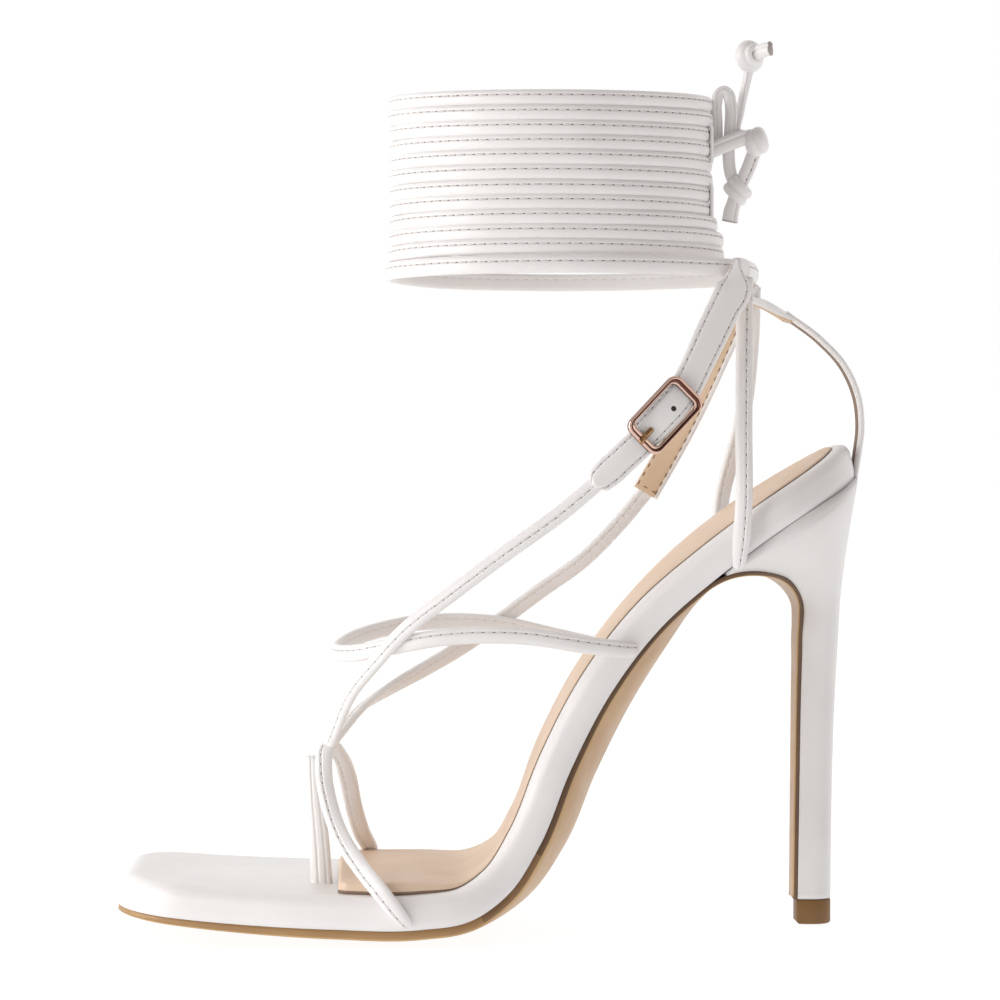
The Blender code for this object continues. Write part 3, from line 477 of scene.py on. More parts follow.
TIE_LINK = [
    TieRow(68.6, -1.6, 203.4, 3.8),
    TieRow(66.8, -1.4, 198.4, 3.8),
    TieRow(64.6, -1.0, 193.6, 3.6),
]
TIE_STEPS = 110
Knot = namedtuple("Knot", "x y z axis rings")
KnotRing = namedtuple("KnotRing", "along major minor")
KNOTS = {
    "knot_middle": Knot(68.8, -1.8, 205.2, (0.9, -0.25, 0.4),
                        (KnotRing(-1.1, 1.9, 1.9), KnotRing(0.9, 1.7, 2.0))),
    "knot_low": Knot(64.0, -0.8, 192.5, (0.62, -0.2, 0.75),
                     (KnotRing(-1.1, 2.2, 1.5), KnotRing(1.1, 2.3, 1.5))),
    "knot_top": Knot(67.6, 1.8, 228.1, (0.52, -0.84, 0.1),
                     (KnotRing(-0.3, 2.2, 2.1), KnotRing(1.8, 2.0, 1.0))),
}
KNOT_STEPS = 72
KNOT_SIDES = 26
KNOT_LUMP = 0.12
KNOT_LEAN = 0.25

# Camera, light and stage
CAMERA_AT = (-37.7, -749.0, 118.5)
CAMERA_LOOKS_AT = (1.57, 0.0, 111.3)
CAMERA_LENS = 103.1
CAMERA_NEAR = 0.01
Lamp = namedtuple("Lamp", "name place target size spread power")
LAMPS = [
    Lamp("key_left", (-800.0, -260.0, 330.0), CAMERA_LOOKS_AT, 0.7, 180.0, 5.4),
    Lamp("top_back", (300.0, 700.0, 1300.0), CAMERA_LOOKS_AT, 1.4, 180.0, 2.0),
    Lamp("toe_fill", (-330.0, -520.0, 200.0), (-75.0, -35.0, 12.0), 0.12, 20.0, 0.012),
    Lamp("fill_right", (900.0, -250.0, 300.0), CAMERA_LOOKS_AT, 1.2, 180.0, 1.6),
]
SKY_FRONT = 0.25
SKY_BACK = 0.62
SKY_TINT = (1.0, 0.92, 0.89)
STAGE_BACK = 0.8
STAGE_BEND = 0.8
STAGE_HALF = 4.0
STAGE_DROP = 0.0003
STAGE_GLOW = 0.92
STAGE_GREY = 0.12
STAGE_ROUGH = 0.9
STAGE_POINTS = 24


def full_turn(count):
    """Even angles once round."""
    return np.linspace(0.0, 2 * math.pi, count, endpoint=False)


def quarter_turn(count):
    """Even angles from nothing to a right angle."""
    return np.linspace(0.0, math.pi / 2, count)


def run_along(path):
    """Length along a path up to each of its points."""
    return np.concatenate([[0.0], np.cumsum(np.linalg.norm(np.diff(path, axis=0), axis=1))])


def smooth(rows, count, axes=3, closed=False):
    """Even points of a cubic curve through the rows; the first columns, as many as axes, are its place."""
    rows = np.array(rows, float)
    if closed:
        rows = np.vstack([rows[-2:], rows, rows[:3]])
    steps = np.linalg.norm(np.diff(rows[:, :axes], axis=0), axis=1)
    knots = np.concatenate([[0.0], np.cumsum(steps)])
    slopes = np.gradient(rows, knots, axis=0)
    first, last = (knots[2], knots[-3]) if closed else (0.0, knots[-1])
    fine = np.linspace(first, last, FINE_STEPS * len(rows))
    span = np.clip(np.searchsorted(knots, fine, side="right") - 1, 0, len(rows) - 2)
    h = steps[span][:, None]
    t = ((fine - knots[span]) / steps[span])[:, None]
    curve = rows[span] * (1 + 2 * t) * (1 - t) ** 2 + slopes[span] * h * t * (1 - t) ** 2
    curve += rows[span + 1] * t ** 2 * (3 - 2 * t) + slopes[span + 1] * h * t ** 2 * (t - 1)
    length = run_along(curve[:, :axes])
    at = np.linspace(0.0, length[-1], count, endpoint=not closed)
    return np.stack([np.interp(at, length, column) for column in curve.T], 1)


def unit(vectors):
    """The vectors at length one."""
    return vectors / np.linalg.norm(vectors, axis=-1, keepdims=True)


def point_numbers(rows, columns):
    """Numbers of the points of a grid, as a table."""
    return np.arange(rows * columns).reshape(rows, columns)


def cells(index, wrap_rows=False, wrap_columns=False):
    """Four-sided faces between neighbours in a table of point numbers."""
    if wrap_rows:
        index = np.vstack([index, index[:1]])
    if wrap_columns:
        index = np.hstack([index, index[:, :1]])
    corners = [index[:-1, :-1], index[:-1, 1:], index[1:, 1:], index[1:, :-1]]
    return np.stack(corners, -1).reshape(-1, 4)


def add_piece(name, points, faces, finishes, face_finish=None, replaced=()):
    """One closed piece that rides on the shoe: points in millimetres, faces turned outwards, smooth."""
    mesh = bpy.data.meshes.new(name)
    mesh.from_pydata((np.asarray(points) * MM).tolist(), [], [list(map(int, face)) for face in faces])
    for finish in finishes:
        mesh.materials.append(finish)
    if face_finish is not None:
        mesh.polygons.foreach_set("material_index", np.asarray(face_finish, np.int32))
    shape = bmesh.new()
    shape.from_mesh(mesh)
    bmesh.ops.recalc_face_normals(shape, faces=shape.faces)
    shape.to_mesh(mesh)
    shape.free()
    mesh.shade_smooth()
    piece = bpy.data.objects.new(name, mesh)
    bpy.context.scene.collection.objects.link(piece)
    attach(piece, "root")
    if replaced:
        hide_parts(*replaced)
    return piece


def add_white(name, points, faces, replaced):
    """One closed piece of plain white leather, in place of one solid."""
    return add_piece(name, points, faces, [WHITE_LEATHER], replaced=[replaced])


# Materials

CLOUD_LOW = 0.3
CLOUD_HIGH = 0.7
BUMP_DISTANCE = 0.0004
COAT_ROUGHNESS = 0.3


def node_group(name, inputs, outputs):
    """A shader node group with named float inputs and named outputs, and its input and output nodes."""
    group = bpy.data.node_groups.new(name, "ShaderNodeTree")
    for label, value in inputs:
        socket = group.interface.new_socket(label, in_out="INPUT", socket_type="NodeSocketFloat")
        socket.default_value = value
    for label, kind in outputs:
        group.interface.new_socket(label, in_out="OUTPUT", socket_type=kind)
    return group, group.nodes.new("NodeGroupInput"), group.nodes.new("NodeGroupOutput")


def leather_group():
    """Leather: fine pebbles and pores as height, soft cloudiness as tint, and uneven gloss.

    Height is the distance to the nearest pebble's edge plus fine noise and long soft creases; Tint and
    Gloss are slow noise between 0 and 1.
    """
    group, source, target = node_group(
        "leather", [("Pebble", 1500.0), ("Crease", 90.0)],
        [("Height", "NodeSocketFloat"), ("Tint", "NodeSocketFloat"), ("Gloss", "NodeSocketFloat")])
    nodes, links = group.nodes, group.links
    place = nodes.new("ShaderNodeTexCoord")
    pebble = nodes.new("ShaderNodeTexVoronoi")
    pebble.feature = "DISTANCE_TO_EDGE"
    links.new(place.outputs["Object"], pebble.inputs["Vector"])
    links.new(source.outputs["Pebble"], pebble.inputs["Scale"])
    crease = nodes.new("ShaderNodeTexNoise")
    crease.inputs["Detail"].default_value = 6.0
    links.new(place.outputs["Object"], crease.inputs["Vector"])
    links.new(source.outputs["Crease"], crease.inputs["Scale"])
    joined = nodes.new("ShaderNodeMath")
    joined.operation = "ADD"
    links.new(pebble.outputs["Distance"], joined.inputs[0])
    links.new(crease.outputs["Fac"], joined.inputs[1])
    links.new(joined.outputs["Value"], target.inputs["Height"])
    for label, scale in (("Tint", 38.0), ("Gloss", 120.0)):
        cloud = nodes.new("ShaderNodeTexNoise")
        cloud.inputs["Scale"].default_value = scale
        cloud.inputs["Detail"].default_value = 3.0
        links.new(place.outputs["Object"], cloud.inputs["Vector"])
        links.new(cloud.outputs["Fac"], target.inputs[label])
    return group


LEATHER = leather_group()


def ramp(tree, source, low, high):
    """A colour between low and high by a share that mostly lies near a half."""
    node = tree.nodes.new("ShaderNodeValToRGB")
    node.color_ramp.elements[0].position = CLOUD_LOW
    node.color_ramp.elements[0].color = (*low, 1.0)
    node.color_ramp.elements[1].position = CLOUD_HIGH
    node.color_ramp.elements[1].color = (*high, 1.0)
    tree.links.new(source, node.inputs["Fac"])
    return node.outputs["Color"]


def spread(tree, source, low, high):
    """A value between low and high by a share that mostly lies near a half."""
    node = tree.nodes.new("ShaderNodeMapRange")
    node.inputs["From Min"].default_value = CLOUD_LOW
    node.inputs["From Max"].default_value = CLOUD_HIGH
    node.inputs["To Min"].default_value = low
    node.inputs["To Max"].default_value = high
    tree.links.new(source, node.inputs["Value"])
    return node.outputs["Result"]


Look = namedtuple("Look", "low high rough_low rough_high pebble crease bump coat metallic")
WHITE = Look((0.80, 0.775, 0.765), (0.86, 0.84, 0.83), 0.34, 0.46, 1700.0, 60.0, 0.10, 0.25, 0.0)
# the heel's white: the same leather painted darker, as painted shade on its downward sides
SHADED_HEEL_WHITE = WHITE._replace(low=(0.755, 0.73, 0.72), high=(0.81, 0.79, 0.78))
LINING = Look((0.60, 0.43, 0.29), (0.68, 0.51, 0.36), 0.55, 0.7, 2400.0, 160.0, 0.16, 0.0, 0.0)
SOCK = Look((0.68, 0.51, 0.37), (0.75, 0.58, 0.44), 0.5, 0.64, 2600.0, 120.0, 0.12, 0.0, 0.0)
TAN = Look((0.41, 0.22, 0.075), (0.51, 0.30, 0.115), 0.34, 0.46, 2000.0, 200.0, 0.06, 0.2, 0.0)
DARK_EDGE = Look((0.11, 0.058, 0.027), (0.16, 0.085, 0.04), 0.35, 0.5, 2600.0, 260.0, 0.08, 0.15, 0.0)
FORE_EDGE = DARK_EDGE._replace(low=(0.33, 0.18, 0.07), high=(0.41, 0.24, 0.10))
BALL_EDGE = DARK_EDGE._replace(low=(0.20, 0.107, 0.045), high=(0.27, 0.15, 0.065))
LIGHT_EDGE = Look((0.46, 0.27, 0.10), (0.58, 0.36, 0.15), 0.4, 0.55, 2600.0, 260.0, 0.06, 0.1, 0.0)
BROWN = Look((0.165, 0.078, 0.02), (0.235, 0.115, 0.03), 0.45, 0.6, 2200.0, 300.0, 0.08, 0.0, 0.0)
THREAD = Look((0.68, 0.64, 0.62), (0.76, 0.72, 0.70), 0.6, 0.75, 5000.0, 900.0, 0.2, 0.0, 0.0)
BROWN_THREAD = THREAD._replace(low=(0.20, 0.09, 0.045), high=(0.30, 0.15, 0.08))
ROSE_GOLD = Look((0.74, 0.48, 0.39), (0.86, 0.60, 0.50), 0.13, 0.22, 900.0, 220.0, 0.015, 0.0, 1.0)
PRONG_GOLD = Look((0.32, 0.18, 0.08), (0.48, 0.29, 0.14), 0.16, 0.26, 900.0, 220.0, 0.015, 0.0, 1.0)
# painted dark reflection on the buckle's walls and groove
DARK_REFLECTION_LOOK = Look((0.10, 0.04, 0.028), (0.17, 0.075, 0.05), 0.25, 0.36, 900.0, 220.0, 0.015, 0.0, 1.0)
# painted shadow of the needle holes
STITCH_SHADOW_LOOK = Look((0.16, 0.12, 0.10), (0.24, 0.19, 0.17), 0.8, 0.9, 2000.0, 200.0, 0.05, 0.0, 0.0)
# dark brown painted shade: the shadow of the gap at the insole's side, and the shaded lining of the sling
SHADE_BROWN_LOOK = Look((0.20, 0.13, 0.09), (0.28, 0.19, 0.13), 0.6, 0.75, 2600.0, 120.0, 0.12, 0.0, 0.0)
CUT = Look((0.36, 0.31, 0.28), (0.46, 0.40, 0.37), 0.7, 0.85, 2600.0, 200.0, 0.15, 0.0, 0.0)
# painted shadow inside the strap's punched hole
HOLE_SHADOW_LOOK = Look((0.02, 0.015, 0.012), (0.04, 0.03, 0.025), 0.8, 0.9, 2000.0, 200.0, 0.05, 0.0, 0.0)


def finish(name, look):
    """A leather, thread or metal finish: cloudy colour, uneven gloss and fine raised grain."""
    made = bpy.data.materials.new(name)
    made.use_nodes = True
    tree = made.node_tree
    shader = tree.nodes["Principled BSDF"]
    grain = tree.nodes.new("ShaderNodeGroup")
    grain.node_tree = LEATHER
    grain.inputs["Pebble"].default_value = look.pebble
    grain.inputs["Crease"].default_value = look.crease
    tree.links.new(ramp(tree, grain.outputs["Tint"], look.low, look.high), shader.inputs["Base Color"])
    gloss = spread(tree, grain.outputs["Gloss"], look.rough_low, look.rough_high)
    tree.links.new(gloss, shader.inputs["Roughness"])
    bump = tree.nodes.new("ShaderNodeBump")
    bump.inputs["Strength"].default_value = look.bump
    bump.inputs["Distance"].default_value = BUMP_DISTANCE
    tree.links.new(grain.outputs["Height"], bump.inputs["Height"])
    tree.links.new(bump.outputs["Normal"], shader.inputs["Normal"])
    shader.inputs["Metallic"].default_value = look.metallic
    shader.inputs["Coat Weight"].default_value = look.coat
    shader.inputs["Coat Roughness"].default_value = COAT_ROUGHNESS
    return made


WHITE_LEATHER = finish("white_leather", WHITE)
SHADED_HEEL_LEATHER = finish("shaded_heel_leather", SHADED_HEEL_WHITE)
LINING_LEATHER = finish("lining_leather", LINING)
SOCK_LEATHER = finish("sock_leather", SOCK)
TAN_LEATHER = finish("tan_sole_leather", TAN)
DARK_SOLE_EDGE = finish("dark_sole_edge", DARK_EDGE)
FORE_SOLE_EDGE = finish("forefoot_sole_edge", FORE_EDGE)
BALL_SOLE_EDGE = finish("ball_sole_edge", BALL_EDGE)
LIGHT_SOLE_EDGE = finish("light_sole_bevel", LIGHT_EDGE)
BROWN_RUBBER = finish("brown_top_piece", BROWN)
WHITE_THREAD = finish("white_thread", THREAD)
LINING_THREAD = finish("brown_thread", BROWN_THREAD)
ROSE_METAL = finish("rose_gold", ROSE_GOLD)
PRONG_METAL = finish("gold_prong", PRONG_GOLD)
PAINTED_REFLECTION_METAL = finish("painted_dark_reflection", DARK_REFLECTION_LOOK)
STITCH_SHADOW_FINISH = finish("painted_stitch_shadow", STITCH_SHADOW_LOOK)
PAINTED_SHADE_BROWN = finish("painted_shade_brown", SHADE_BROWN_LOOK)
CUT_LEATHER = finish("cut_leather", CUT)
HOLE_SHADOW_FINISH = finish("painted_hole_shadow", HOLE_SHADOW_LOOK)


# Sole


class Sweep:
    """A line in the XZ plane that pads follow: s runs along it, y across it and n away from the floor."""

    def __init__(self, rows):
        line = smooth(rows, SWEEP_STEPS, axes=2)
        self.rows = Station(*line.T)
        self.s = run_along(line[:, :2])
        self.length = self.s[-1]
        run = unit(np.gradient(line[:, :2], self.s, axis=0))
        self.tangent_x, self.tangent_z = run.T

    def column(self, name, s):
        return np.interp(s, self.s, getattr(self.rows, name))

    def place(self, s, y, n):
        tx = np.interp(s, self.s, self.tangent_x)
        tz = np.interp(s, self.s, self.tangent_z)
        past = np.maximum(s - self.length, 0.0)
        x = self.column("x", s) + tx * past - tz * n + self.column("slant", s) * (y - SLANT_FROM)
        z = self.column("z", s) + tz * past + tx * n
        return np.stack([x, y, z], -1)


def plan_loop(s, inner, outer):
    """Closed outline in s and y: inner side to the heel, across, outer side to the toe, and across."""
    near = np.stack([s, -inner], 1)
    far = np.stack([s, outer], 1)
    back = near[-1] + (far[-1] - near[-1]) * ACROSS[:, None]
    front = far[0] + (near[0] - far[0]) * ACROSS[:, None]
    return np.vstack([near, back, far[::-1], front])


def inset(loop, distance):
    """The outline moved inwards along its normals."""
    ahead = unit(np.roll(loop, -1, 0) - np.roll(loop, 1, 0))
    return loop + np.stack([-ahead[:, 1], ahead[:, 0]], 1) * distance


def filled(loop, count):
    """The outline's inside as rows of s and y from side to side, and each point's share of the crown."""
    near = loop[:count]
    far = loop[count + COLUMNS_ACROSS - 1:2 * count + COLUMNS_ACROSS - 1][::-1]
    rows = near[1:-1, None] + (far - near)[1:-1, None] * ACROSS[None, :, None]
    return rows.reshape(-1, 2), np.tile(1 - (2 * ACROSS - 1) ** 2, count - 2)


def fill_index(loop_start, grid_start, count):
    """Point numbers of a filled outline as a table: the loop round its edge and the grid inside."""
    across = np.arange(1, COLUMNS_ACROSS)
    index = np.zeros((count, COLUMNS_ACROSS + 1), int)
    index[:, 0] = loop_start + np.arange(count)
    index[:, -1] = loop_start + 2 * count + COLUMNS_ACROSS - 2 - np.arange(count)
    index[-1, 1:-1] = loop_start + count + across - 1
    index[0, 1:-1] = loop_start + 2 * count + 2 * COLUMNS_ACROSS - 2 - across
    index[1:-1, 1:-1] = grid_start + point_numbers(count - 2, COLUMNS_ACROSS - 1)
    return index


def pad(sweep, outline, layers, crowns, lean=0.0, rise=0.0, floor=False):
    """Points, faces and layer number of each face of a sole layer.

    Outlines are stacked from the lowest to the highest, and filled below and above; the filled faces
    take the numbers of the first layer and of the last.
    """
    def place(flat, n):
        s = flat[:, 0]
        seat = np.clip((s - sweep.length) / SEAT_DEPTH + 1.0, 0.0, 1.0)
        n = n * (1.0 + rise * seat ** 2)
        return sweep.place(s + lean * seat * n, flat[:, 1], n)

    def level(height, s):
        return height(s) if callable(height) else np.full(len(s), height)

    size = len(outline)
    count = (size - 2 * (COLUMNS_ACROSS - 1)) // 2
    points = []
    for inwards, height in layers:
        loop = inset(outline, inwards)
        points.append(place(loop, level(height, loop[:, 0])))
    faces = [cells(point_numbers(len(layers), size), wrap_columns=True)]
    numbers = [np.repeat(np.arange(1, len(layers)), size)]
    for which, share in ((0, crowns[0]), (-1, crowns[1])):
        inwards, height = layers[which]
        grid, crest = filled(inset(outline, inwards), count)
        s = grid[:, 0]
        start = 0 if which == 0 else (len(layers) - 1) * size
        index = fill_index(start, sum(len(block) for block in points), count)
        points.append(place(grid, level(height, s) - share * sweep.column("crown", s) * crest))
        faces.append(cells(index))
        numbers.append(np.full(len(faces[-1]), 0 if which == 0 else len(layers)))
    points = np.vstack(points)
    if floor:
        points[:, 2] = np.maximum(points[:, 2], 0.0)
    return points, np.vstack(faces), np.concatenate(numbers)


def toe_rounding(s):
    """How far a side draws in near the toe: a quarter circle at each corner."""
    reach = np.clip(TOE_CORNER - s, 0.0, TOE_CORNER)
    return TOE_CORNER - np.sqrt(TOE_CORNER ** 2 - reach ** 2)


def sole_stations(sweep):
    """Stations from the toe, close round its corner, to the start of the heel seat."""
    corner = TOE_CORNER * (1 - np.cos(quarter_turn(TOE_CORNER_POINTS)))
    middle = np.linspace(TOE_CORNER, sweep.length - SEAT_DEPTH, STATIONS_ALONG)
    return np.concatenate([corner[:-1], middle])


def footbed_outline(sweep):
    """The footbed's outline, square at the toe and an ellipse round the heel seat."""
    seat_start = sweep.length - SEAT_DEPTH
    seat_turn = np.linspace(0.0, math.acos(SEAT_FLAT / SOLE[-1].inner), SEAT_POINTS)
    s = np.concatenate([sole_stations(sweep)[:-1], seat_start + SEAT_DEPTH * np.sin(seat_turn)])
    past = np.clip((s - seat_start) / SEAT_DEPTH, 0.0, 1.0)
    seat = np.sqrt(1 - past ** 2)
    inner = (sweep.column("inner", s) - toe_rounding(s)) * seat
    outer = (sweep.column("outer", s) - toe_rounding(s)) * seat
    return plan_loop(s, inner, outer)


def footbed_cover(sweep):
    """White padded footbed: its wall swells a little, and its upper edge is a quarter round."""
    wall = FOOTBED_THICK - FOOTBED_ROUND
    layers = [(FOOTBED_FOOT, 0.0), (FOOTBED_FOOT_MIDDLE, FOOTBED_FOOT_MIDDLE), (0.0, FOOTBED_FOOT)]
    layers += [(-FOOTBED_SWELL * math.sin(math.pi * t), wall * t) for t in FOOTBED_SWELL_AT]
    for turn in quarter_turn(FOOTBED_ROUND_POINTS):
        fall = FOOTBED_ROUND * (1 - math.sin(turn))
        layers.append((FOOTBED_ROUND * (1 - math.cos(turn)), FOOTBED_THICK - fall))
    points, faces, _ = pad(sweep, footbed_outline(sweep), layers, (1.0, 0.0), SEAT_LEAN, SEAT_RISE)
    add_white("footbed_cover", points, faces, "footbed")


def insole_outline(sweep):
    """The insole's outline: the footbed's drawn in, with elliptic corners beside its straight front."""
    start = np.interp(INSOLE_FRONT_X, sweep.rows.x, sweep.s)
    depth = SEAT_DEPTH - INSOLE_INSET
    seat_start = sweep.length - SEAT_DEPTH
    front = start + INSOLE_OUTER_CORNER[0] * (1 - np.cos(quarter_turn(TOE_CORNER_POINTS)))
    middle = np.linspace(front[-1], seat_start, STATIONS_ALONG)
    seat_turn = np.linspace(0.0, math.acos(SEAT_FLAT / (SOLE[-1].inner - INSOLE_INSET)), SEAT_POINTS)
    s = np.concatenate([front[:-1], middle[:-1], seat_start + depth * np.sin(seat_turn)])
    seat = np.sqrt(1 - np.clip((s - seat_start) / depth, 0.0, 1.0) ** 2)

    def side(name, corner):
        reach = np.clip(1.0 - (s - start) / corner[0], 0.0, 1.0)
        drawn_in = corner[1] * (1 - np.sqrt(1 - reach ** 2))
        return (sweep.column(name, s) - INSOLE_INSET - drawn_in) * seat

    return plan_loop(s, side("inner", INSOLE_INNER_CORNER), side("outer", INSOLE_OUTER_CORNER))


def insole_sock(sweep):
    """Beige insole, a soft cushion under the ball that thins out at the waist; the lowest band of its side
    is painted dark brown as the shadow of the gap above the footbed.
    """
    def height(share):
        def level(s):
            first, last = INSOLE_CUSHION_X
            way = np.clip((sweep.column("x", s) - first) / (last - first), 0.0, 1.0)
            thick = INSOLE_THICK + INSOLE_CUSHION * (1 - way * way * (3 - 2 * way))
            return FOOTBED_THICK + INSOLE_LIFT + share * thick
        return level

    layers = [(row.inwards, height(row.share)) for row in INSOLE_EDGE]
    points, faces, layer = pad(sweep, insole_outline(sweep), layers, (0.0, 0.0), SEAT_LEAN, SEAT_RISE)
    # the lowest side band takes the painted shadow of the gap
    shade = (layer == 1).astype(int)
    add_piece("insole_sock", points, faces, [SOCK_LEATHER, PAINTED_SHADE_BROWN], shade, ["insole"])


def heel_rows(count):
    """Heel sections close together, from the tip up."""
    return [HeelRow(*row) for row in smooth(HEEL, count, axes=2)]


def outsole_leather(sole_line):
    """Leather outsole with a dark edge and a light bevel, which runs down the heel's front as a flap."""
    shared = sole_stations(sole_line)
    shared = shared[sole_line.column("x", shared) < FLAP_START_X]
    line = Station(*[sole_line.column(name, shared) for name in Station._fields])
    line = line._replace(inner=line.inner - OUTSOLE_INSET, outer=line.outer - OUTSOLE_INSET)
    flap = []
    for row in reversed(heel_rows(FLAP_SECTIONS)):
        half = row.front_half
        flap.append(SOLE[-1]._replace(x=row.front_x, z=row.front_z, inner=half, outer=half))
    sweep = Sweep(np.vstack([np.stack(line, 1), flap]))
    s = np.concatenate([shared, np.linspace(shared[-1], sweep.length, FLAP_STATIONS + 1)[1:]])
    inner = sweep.column("inner", s) - toe_rounding(s)
    outer = sweep.column("outer", s) - toe_rounding(s)

    def bottom(at):
        return -GAP - sweep.column("edge", at)

    def bevel_start(at):
        return -GAP - OUTSOLE_BEVEL_SHARE * sweep.column("edge", at)

    layers = [(OUTSOLE_BEVEL, bottom), (0.0, bevel_start), (0.0, OUTSOLE_TOP)]
    points, faces, layer = pad(sweep, plan_loop(s, inner, outer), layers, (1.0, 1.0), floor=True)
    finishes = [TAN_LEATHER, DARK_SOLE_EDGE, LIGHT_SOLE_EDGE, BALL_SOLE_EDGE, FORE_SOLE_EDGE]
    tan, dark, light, ball, fore = range(len(finishes))
    shade = np.array([tan, light, dark, dark])[layer]
    along = points[faces, 0].mean(1)
    shade = np.where((shade == dark) & (along < BALL_EDGE_TO), ball, shade)
    shade = np.where((shade == ball) & (along < FORE_EDGE_TO), fore, shade)
    add_piece("outsole_leather", points, faces, finishes, shade, ["outsole"])


def heel_loop(row, height=None, inwards=0.0):
    """One closed heel section: flat front, sides that swell as a sine, and an elliptic back."""
    front = np.linspace(0.0, HEEL_WIDEST, HEEL_FRONT_POINTS, endpoint=False)
    back = HEEL_WIDEST + (1 - HEEL_WIDEST) * np.sin(quarter_turn(HEEL_BACK_POINTS))
    share = np.concatenate([front, back])
    x = row.front_x + inwards + (row.back_x - row.front_x - 2 * inwards) * share
    z = row.front_z + (row.back_z - row.front_z) * share
    if height is not None:
        z = height(x)
    rise = np.sin(np.clip(share / HEEL_WIDEST, 0.0, 1.0) * math.pi / 2)
    full = row.front_half + (row.side_half - row.front_half) * rise - inwards
    past = np.clip((share - HEEL_WIDEST) / (1 - HEEL_WIDEST), 0.0, 1.0)
    half = full * np.sqrt(1 - past ** 2)
    near = np.stack([x, -half, z], 1)
    far = np.stack([x, half, z], 1)
    return np.vstack([near, far[-2::-1]])


def stacked(loops):
    """Points and faces of closed sections stacked on one another, closed by a face at each end."""
    index = point_numbers(len(loops), len(loops[0]))
    faces = cells(index, wrap_columns=True).tolist()
    return np.vstack(loops), faces + [index[0].tolist(), index[-1].tolist()]


def heel_cover(sweep):
    """White covered stiletto heel, its top cut to the underside of the heel seat; its white leather is
    painted a little darker than the footbed's, as painted shade.
    """
    def seat(x):
        edge = np.interp(x, sweep.rows.x, sweep.rows.z)
        return edge - np.interp(x, sweep.rows.x, sweep.rows.crown) - HEEL_SEAT_GAP

    rows = heel_rows(HEEL_SECTIONS)
    loops = [heel_loop(row) for row in rows] + [heel_loop(rows[-1], seat)]
    points, faces = stacked(loops)
    add_piece("heel_cover", points, faces, [SHADED_HEEL_LEATHER], replaced=["heel"])


def heel_top_piece():
    """Brown top piece under the heel with its edges broken."""
    sizes = [(0.0, TIP_BEVEL), (TIP_BEVEL, 0.0), (TIP_HEIGHT - TIP_BEVEL, 0.0), (TIP_HEIGHT, TIP_BEVEL / 2)]
    loops = [heel_loop(HEEL[0]._replace(front_z=z, back_z=z), inwards=inwards) for z, inwards in sizes]
    points, faces = stacked(loops)
    add_piece("heel_top_piece", points, faces, [BROWN_RUBBER], replaced=["heel_tip"])


# Straps


Ribbon = namedtuple("Ribbon", "path outward side half")
StitchRow = namedtuple("StitchRow", "path outward side")
stitch_rows = {"white": [], "lining": []}


def away_from(points, line):
    """Directions from a core line to the points."""
    start = np.array(line[0])
    along = unit(np.array(line[1]) - start)
    off = points - start
    return off - np.outer(off @ along, along)


def ribbon(path, outward, half, closed=False):
    """A path with its outward and sideways directions, square to the way it runs."""
    if closed:
        tangent = unit(np.roll(path, -1, 0) - np.roll(path, 1, 0))
    else:
        tangent = unit(np.gradient(path, axis=0))
    outward = unit(outward - tangent * np.sum(outward * tangent, 1, keepdims=True))
    return Ribbon(path, outward, np.cross(tangent, outward), np.broadcast_to(half, (len(path),)))


def section_loop(section, half):
    """Across and height of a strap's closed section, and 1 for the faces of its lining.

    The outer face is a pillow, its height the root of 1 - across^PILLOW, less a bell-shaped trough at
    each stitched groove; the inner face is a flatter pillow.
    """
    outer = np.cos(np.linspace(0.0, math.pi, OUTER_POINTS))
    inner = -np.cos(np.linspace(0.0, math.pi, INNER_POINTS))[1:-1]
    top = section.thick / 2 * np.sqrt(np.maximum(1 - np.abs(outer) ** PILLOW, 0.0))
    low = -section.thick / 2 * np.sqrt(np.maximum(1 - np.abs(inner) ** INNER_PILLOW, 0.0))
    for groove in section.grooves:
        top = top - GROOVE_DEPTH * np.exp(-(((outer - groove) * half / GROOVE_REACH) ** 2))
        low = low + INNER_GROOVE * GROOVE_DEPTH * np.exp(-(((inner - groove) * half / GROOVE_REACH) ** 2))
    across = np.concatenate([outer, inner])
    lined = np.concatenate([np.zeros(OUTER_POINTS), np.abs(inner) < section.lining])
    return across, np.concatenate([top, low]), lined


def strap_surface(line, section, closed=False):
    """Points, faces and lining flag of each face of a strap: its section carried along the ribbon."""
    across, height, lined = section_loop(section, float(np.median(line.half)))
    grid = line.path[:, None] + line.side[:, None] * (line.half[:, None] * across)[..., None]
    grid = grid + line.outward[:, None] * height[None, :, None]
    index = point_numbers(*grid.shape[:2])
    faces = cells(index, wrap_rows=closed, wrap_columns=True).tolist()
    flags = np.tile(lined, grid.shape[0] - (0 if closed else 1))
    if not closed:
        faces += [index[0].tolist(), index[-1].tolist()]
        flags = np.concatenate([flags, [0, 0]])
    return grid.reshape(-1, 3), faces, flags


def sew(line, section):
    """Keeps the stitch rows of a strap, one for each groove on its outer and on its inner face."""
    inner = section.thick / 2 - INNER_THREAD_DEPTH * GROOVE_DEPTH
    inner_thread = "lining" if section.lining else "white"
    for groove in section.grooves:
        share = math.sqrt(1 - abs(groove) ** PILLOW)
        outer = section.thick / 2 * share - THREAD_DEPTH * GROOVE_DEPTH
        middle = line.path + line.side * (groove * line.half)[:, None]
        stitch_rows["white"].append(StitchRow(middle + line.outward * outer, line.outward, line.side))
        stitch_rows[inner_thread].append(StitchRow(middle - line.outward * inner, -line.outward, line.side))


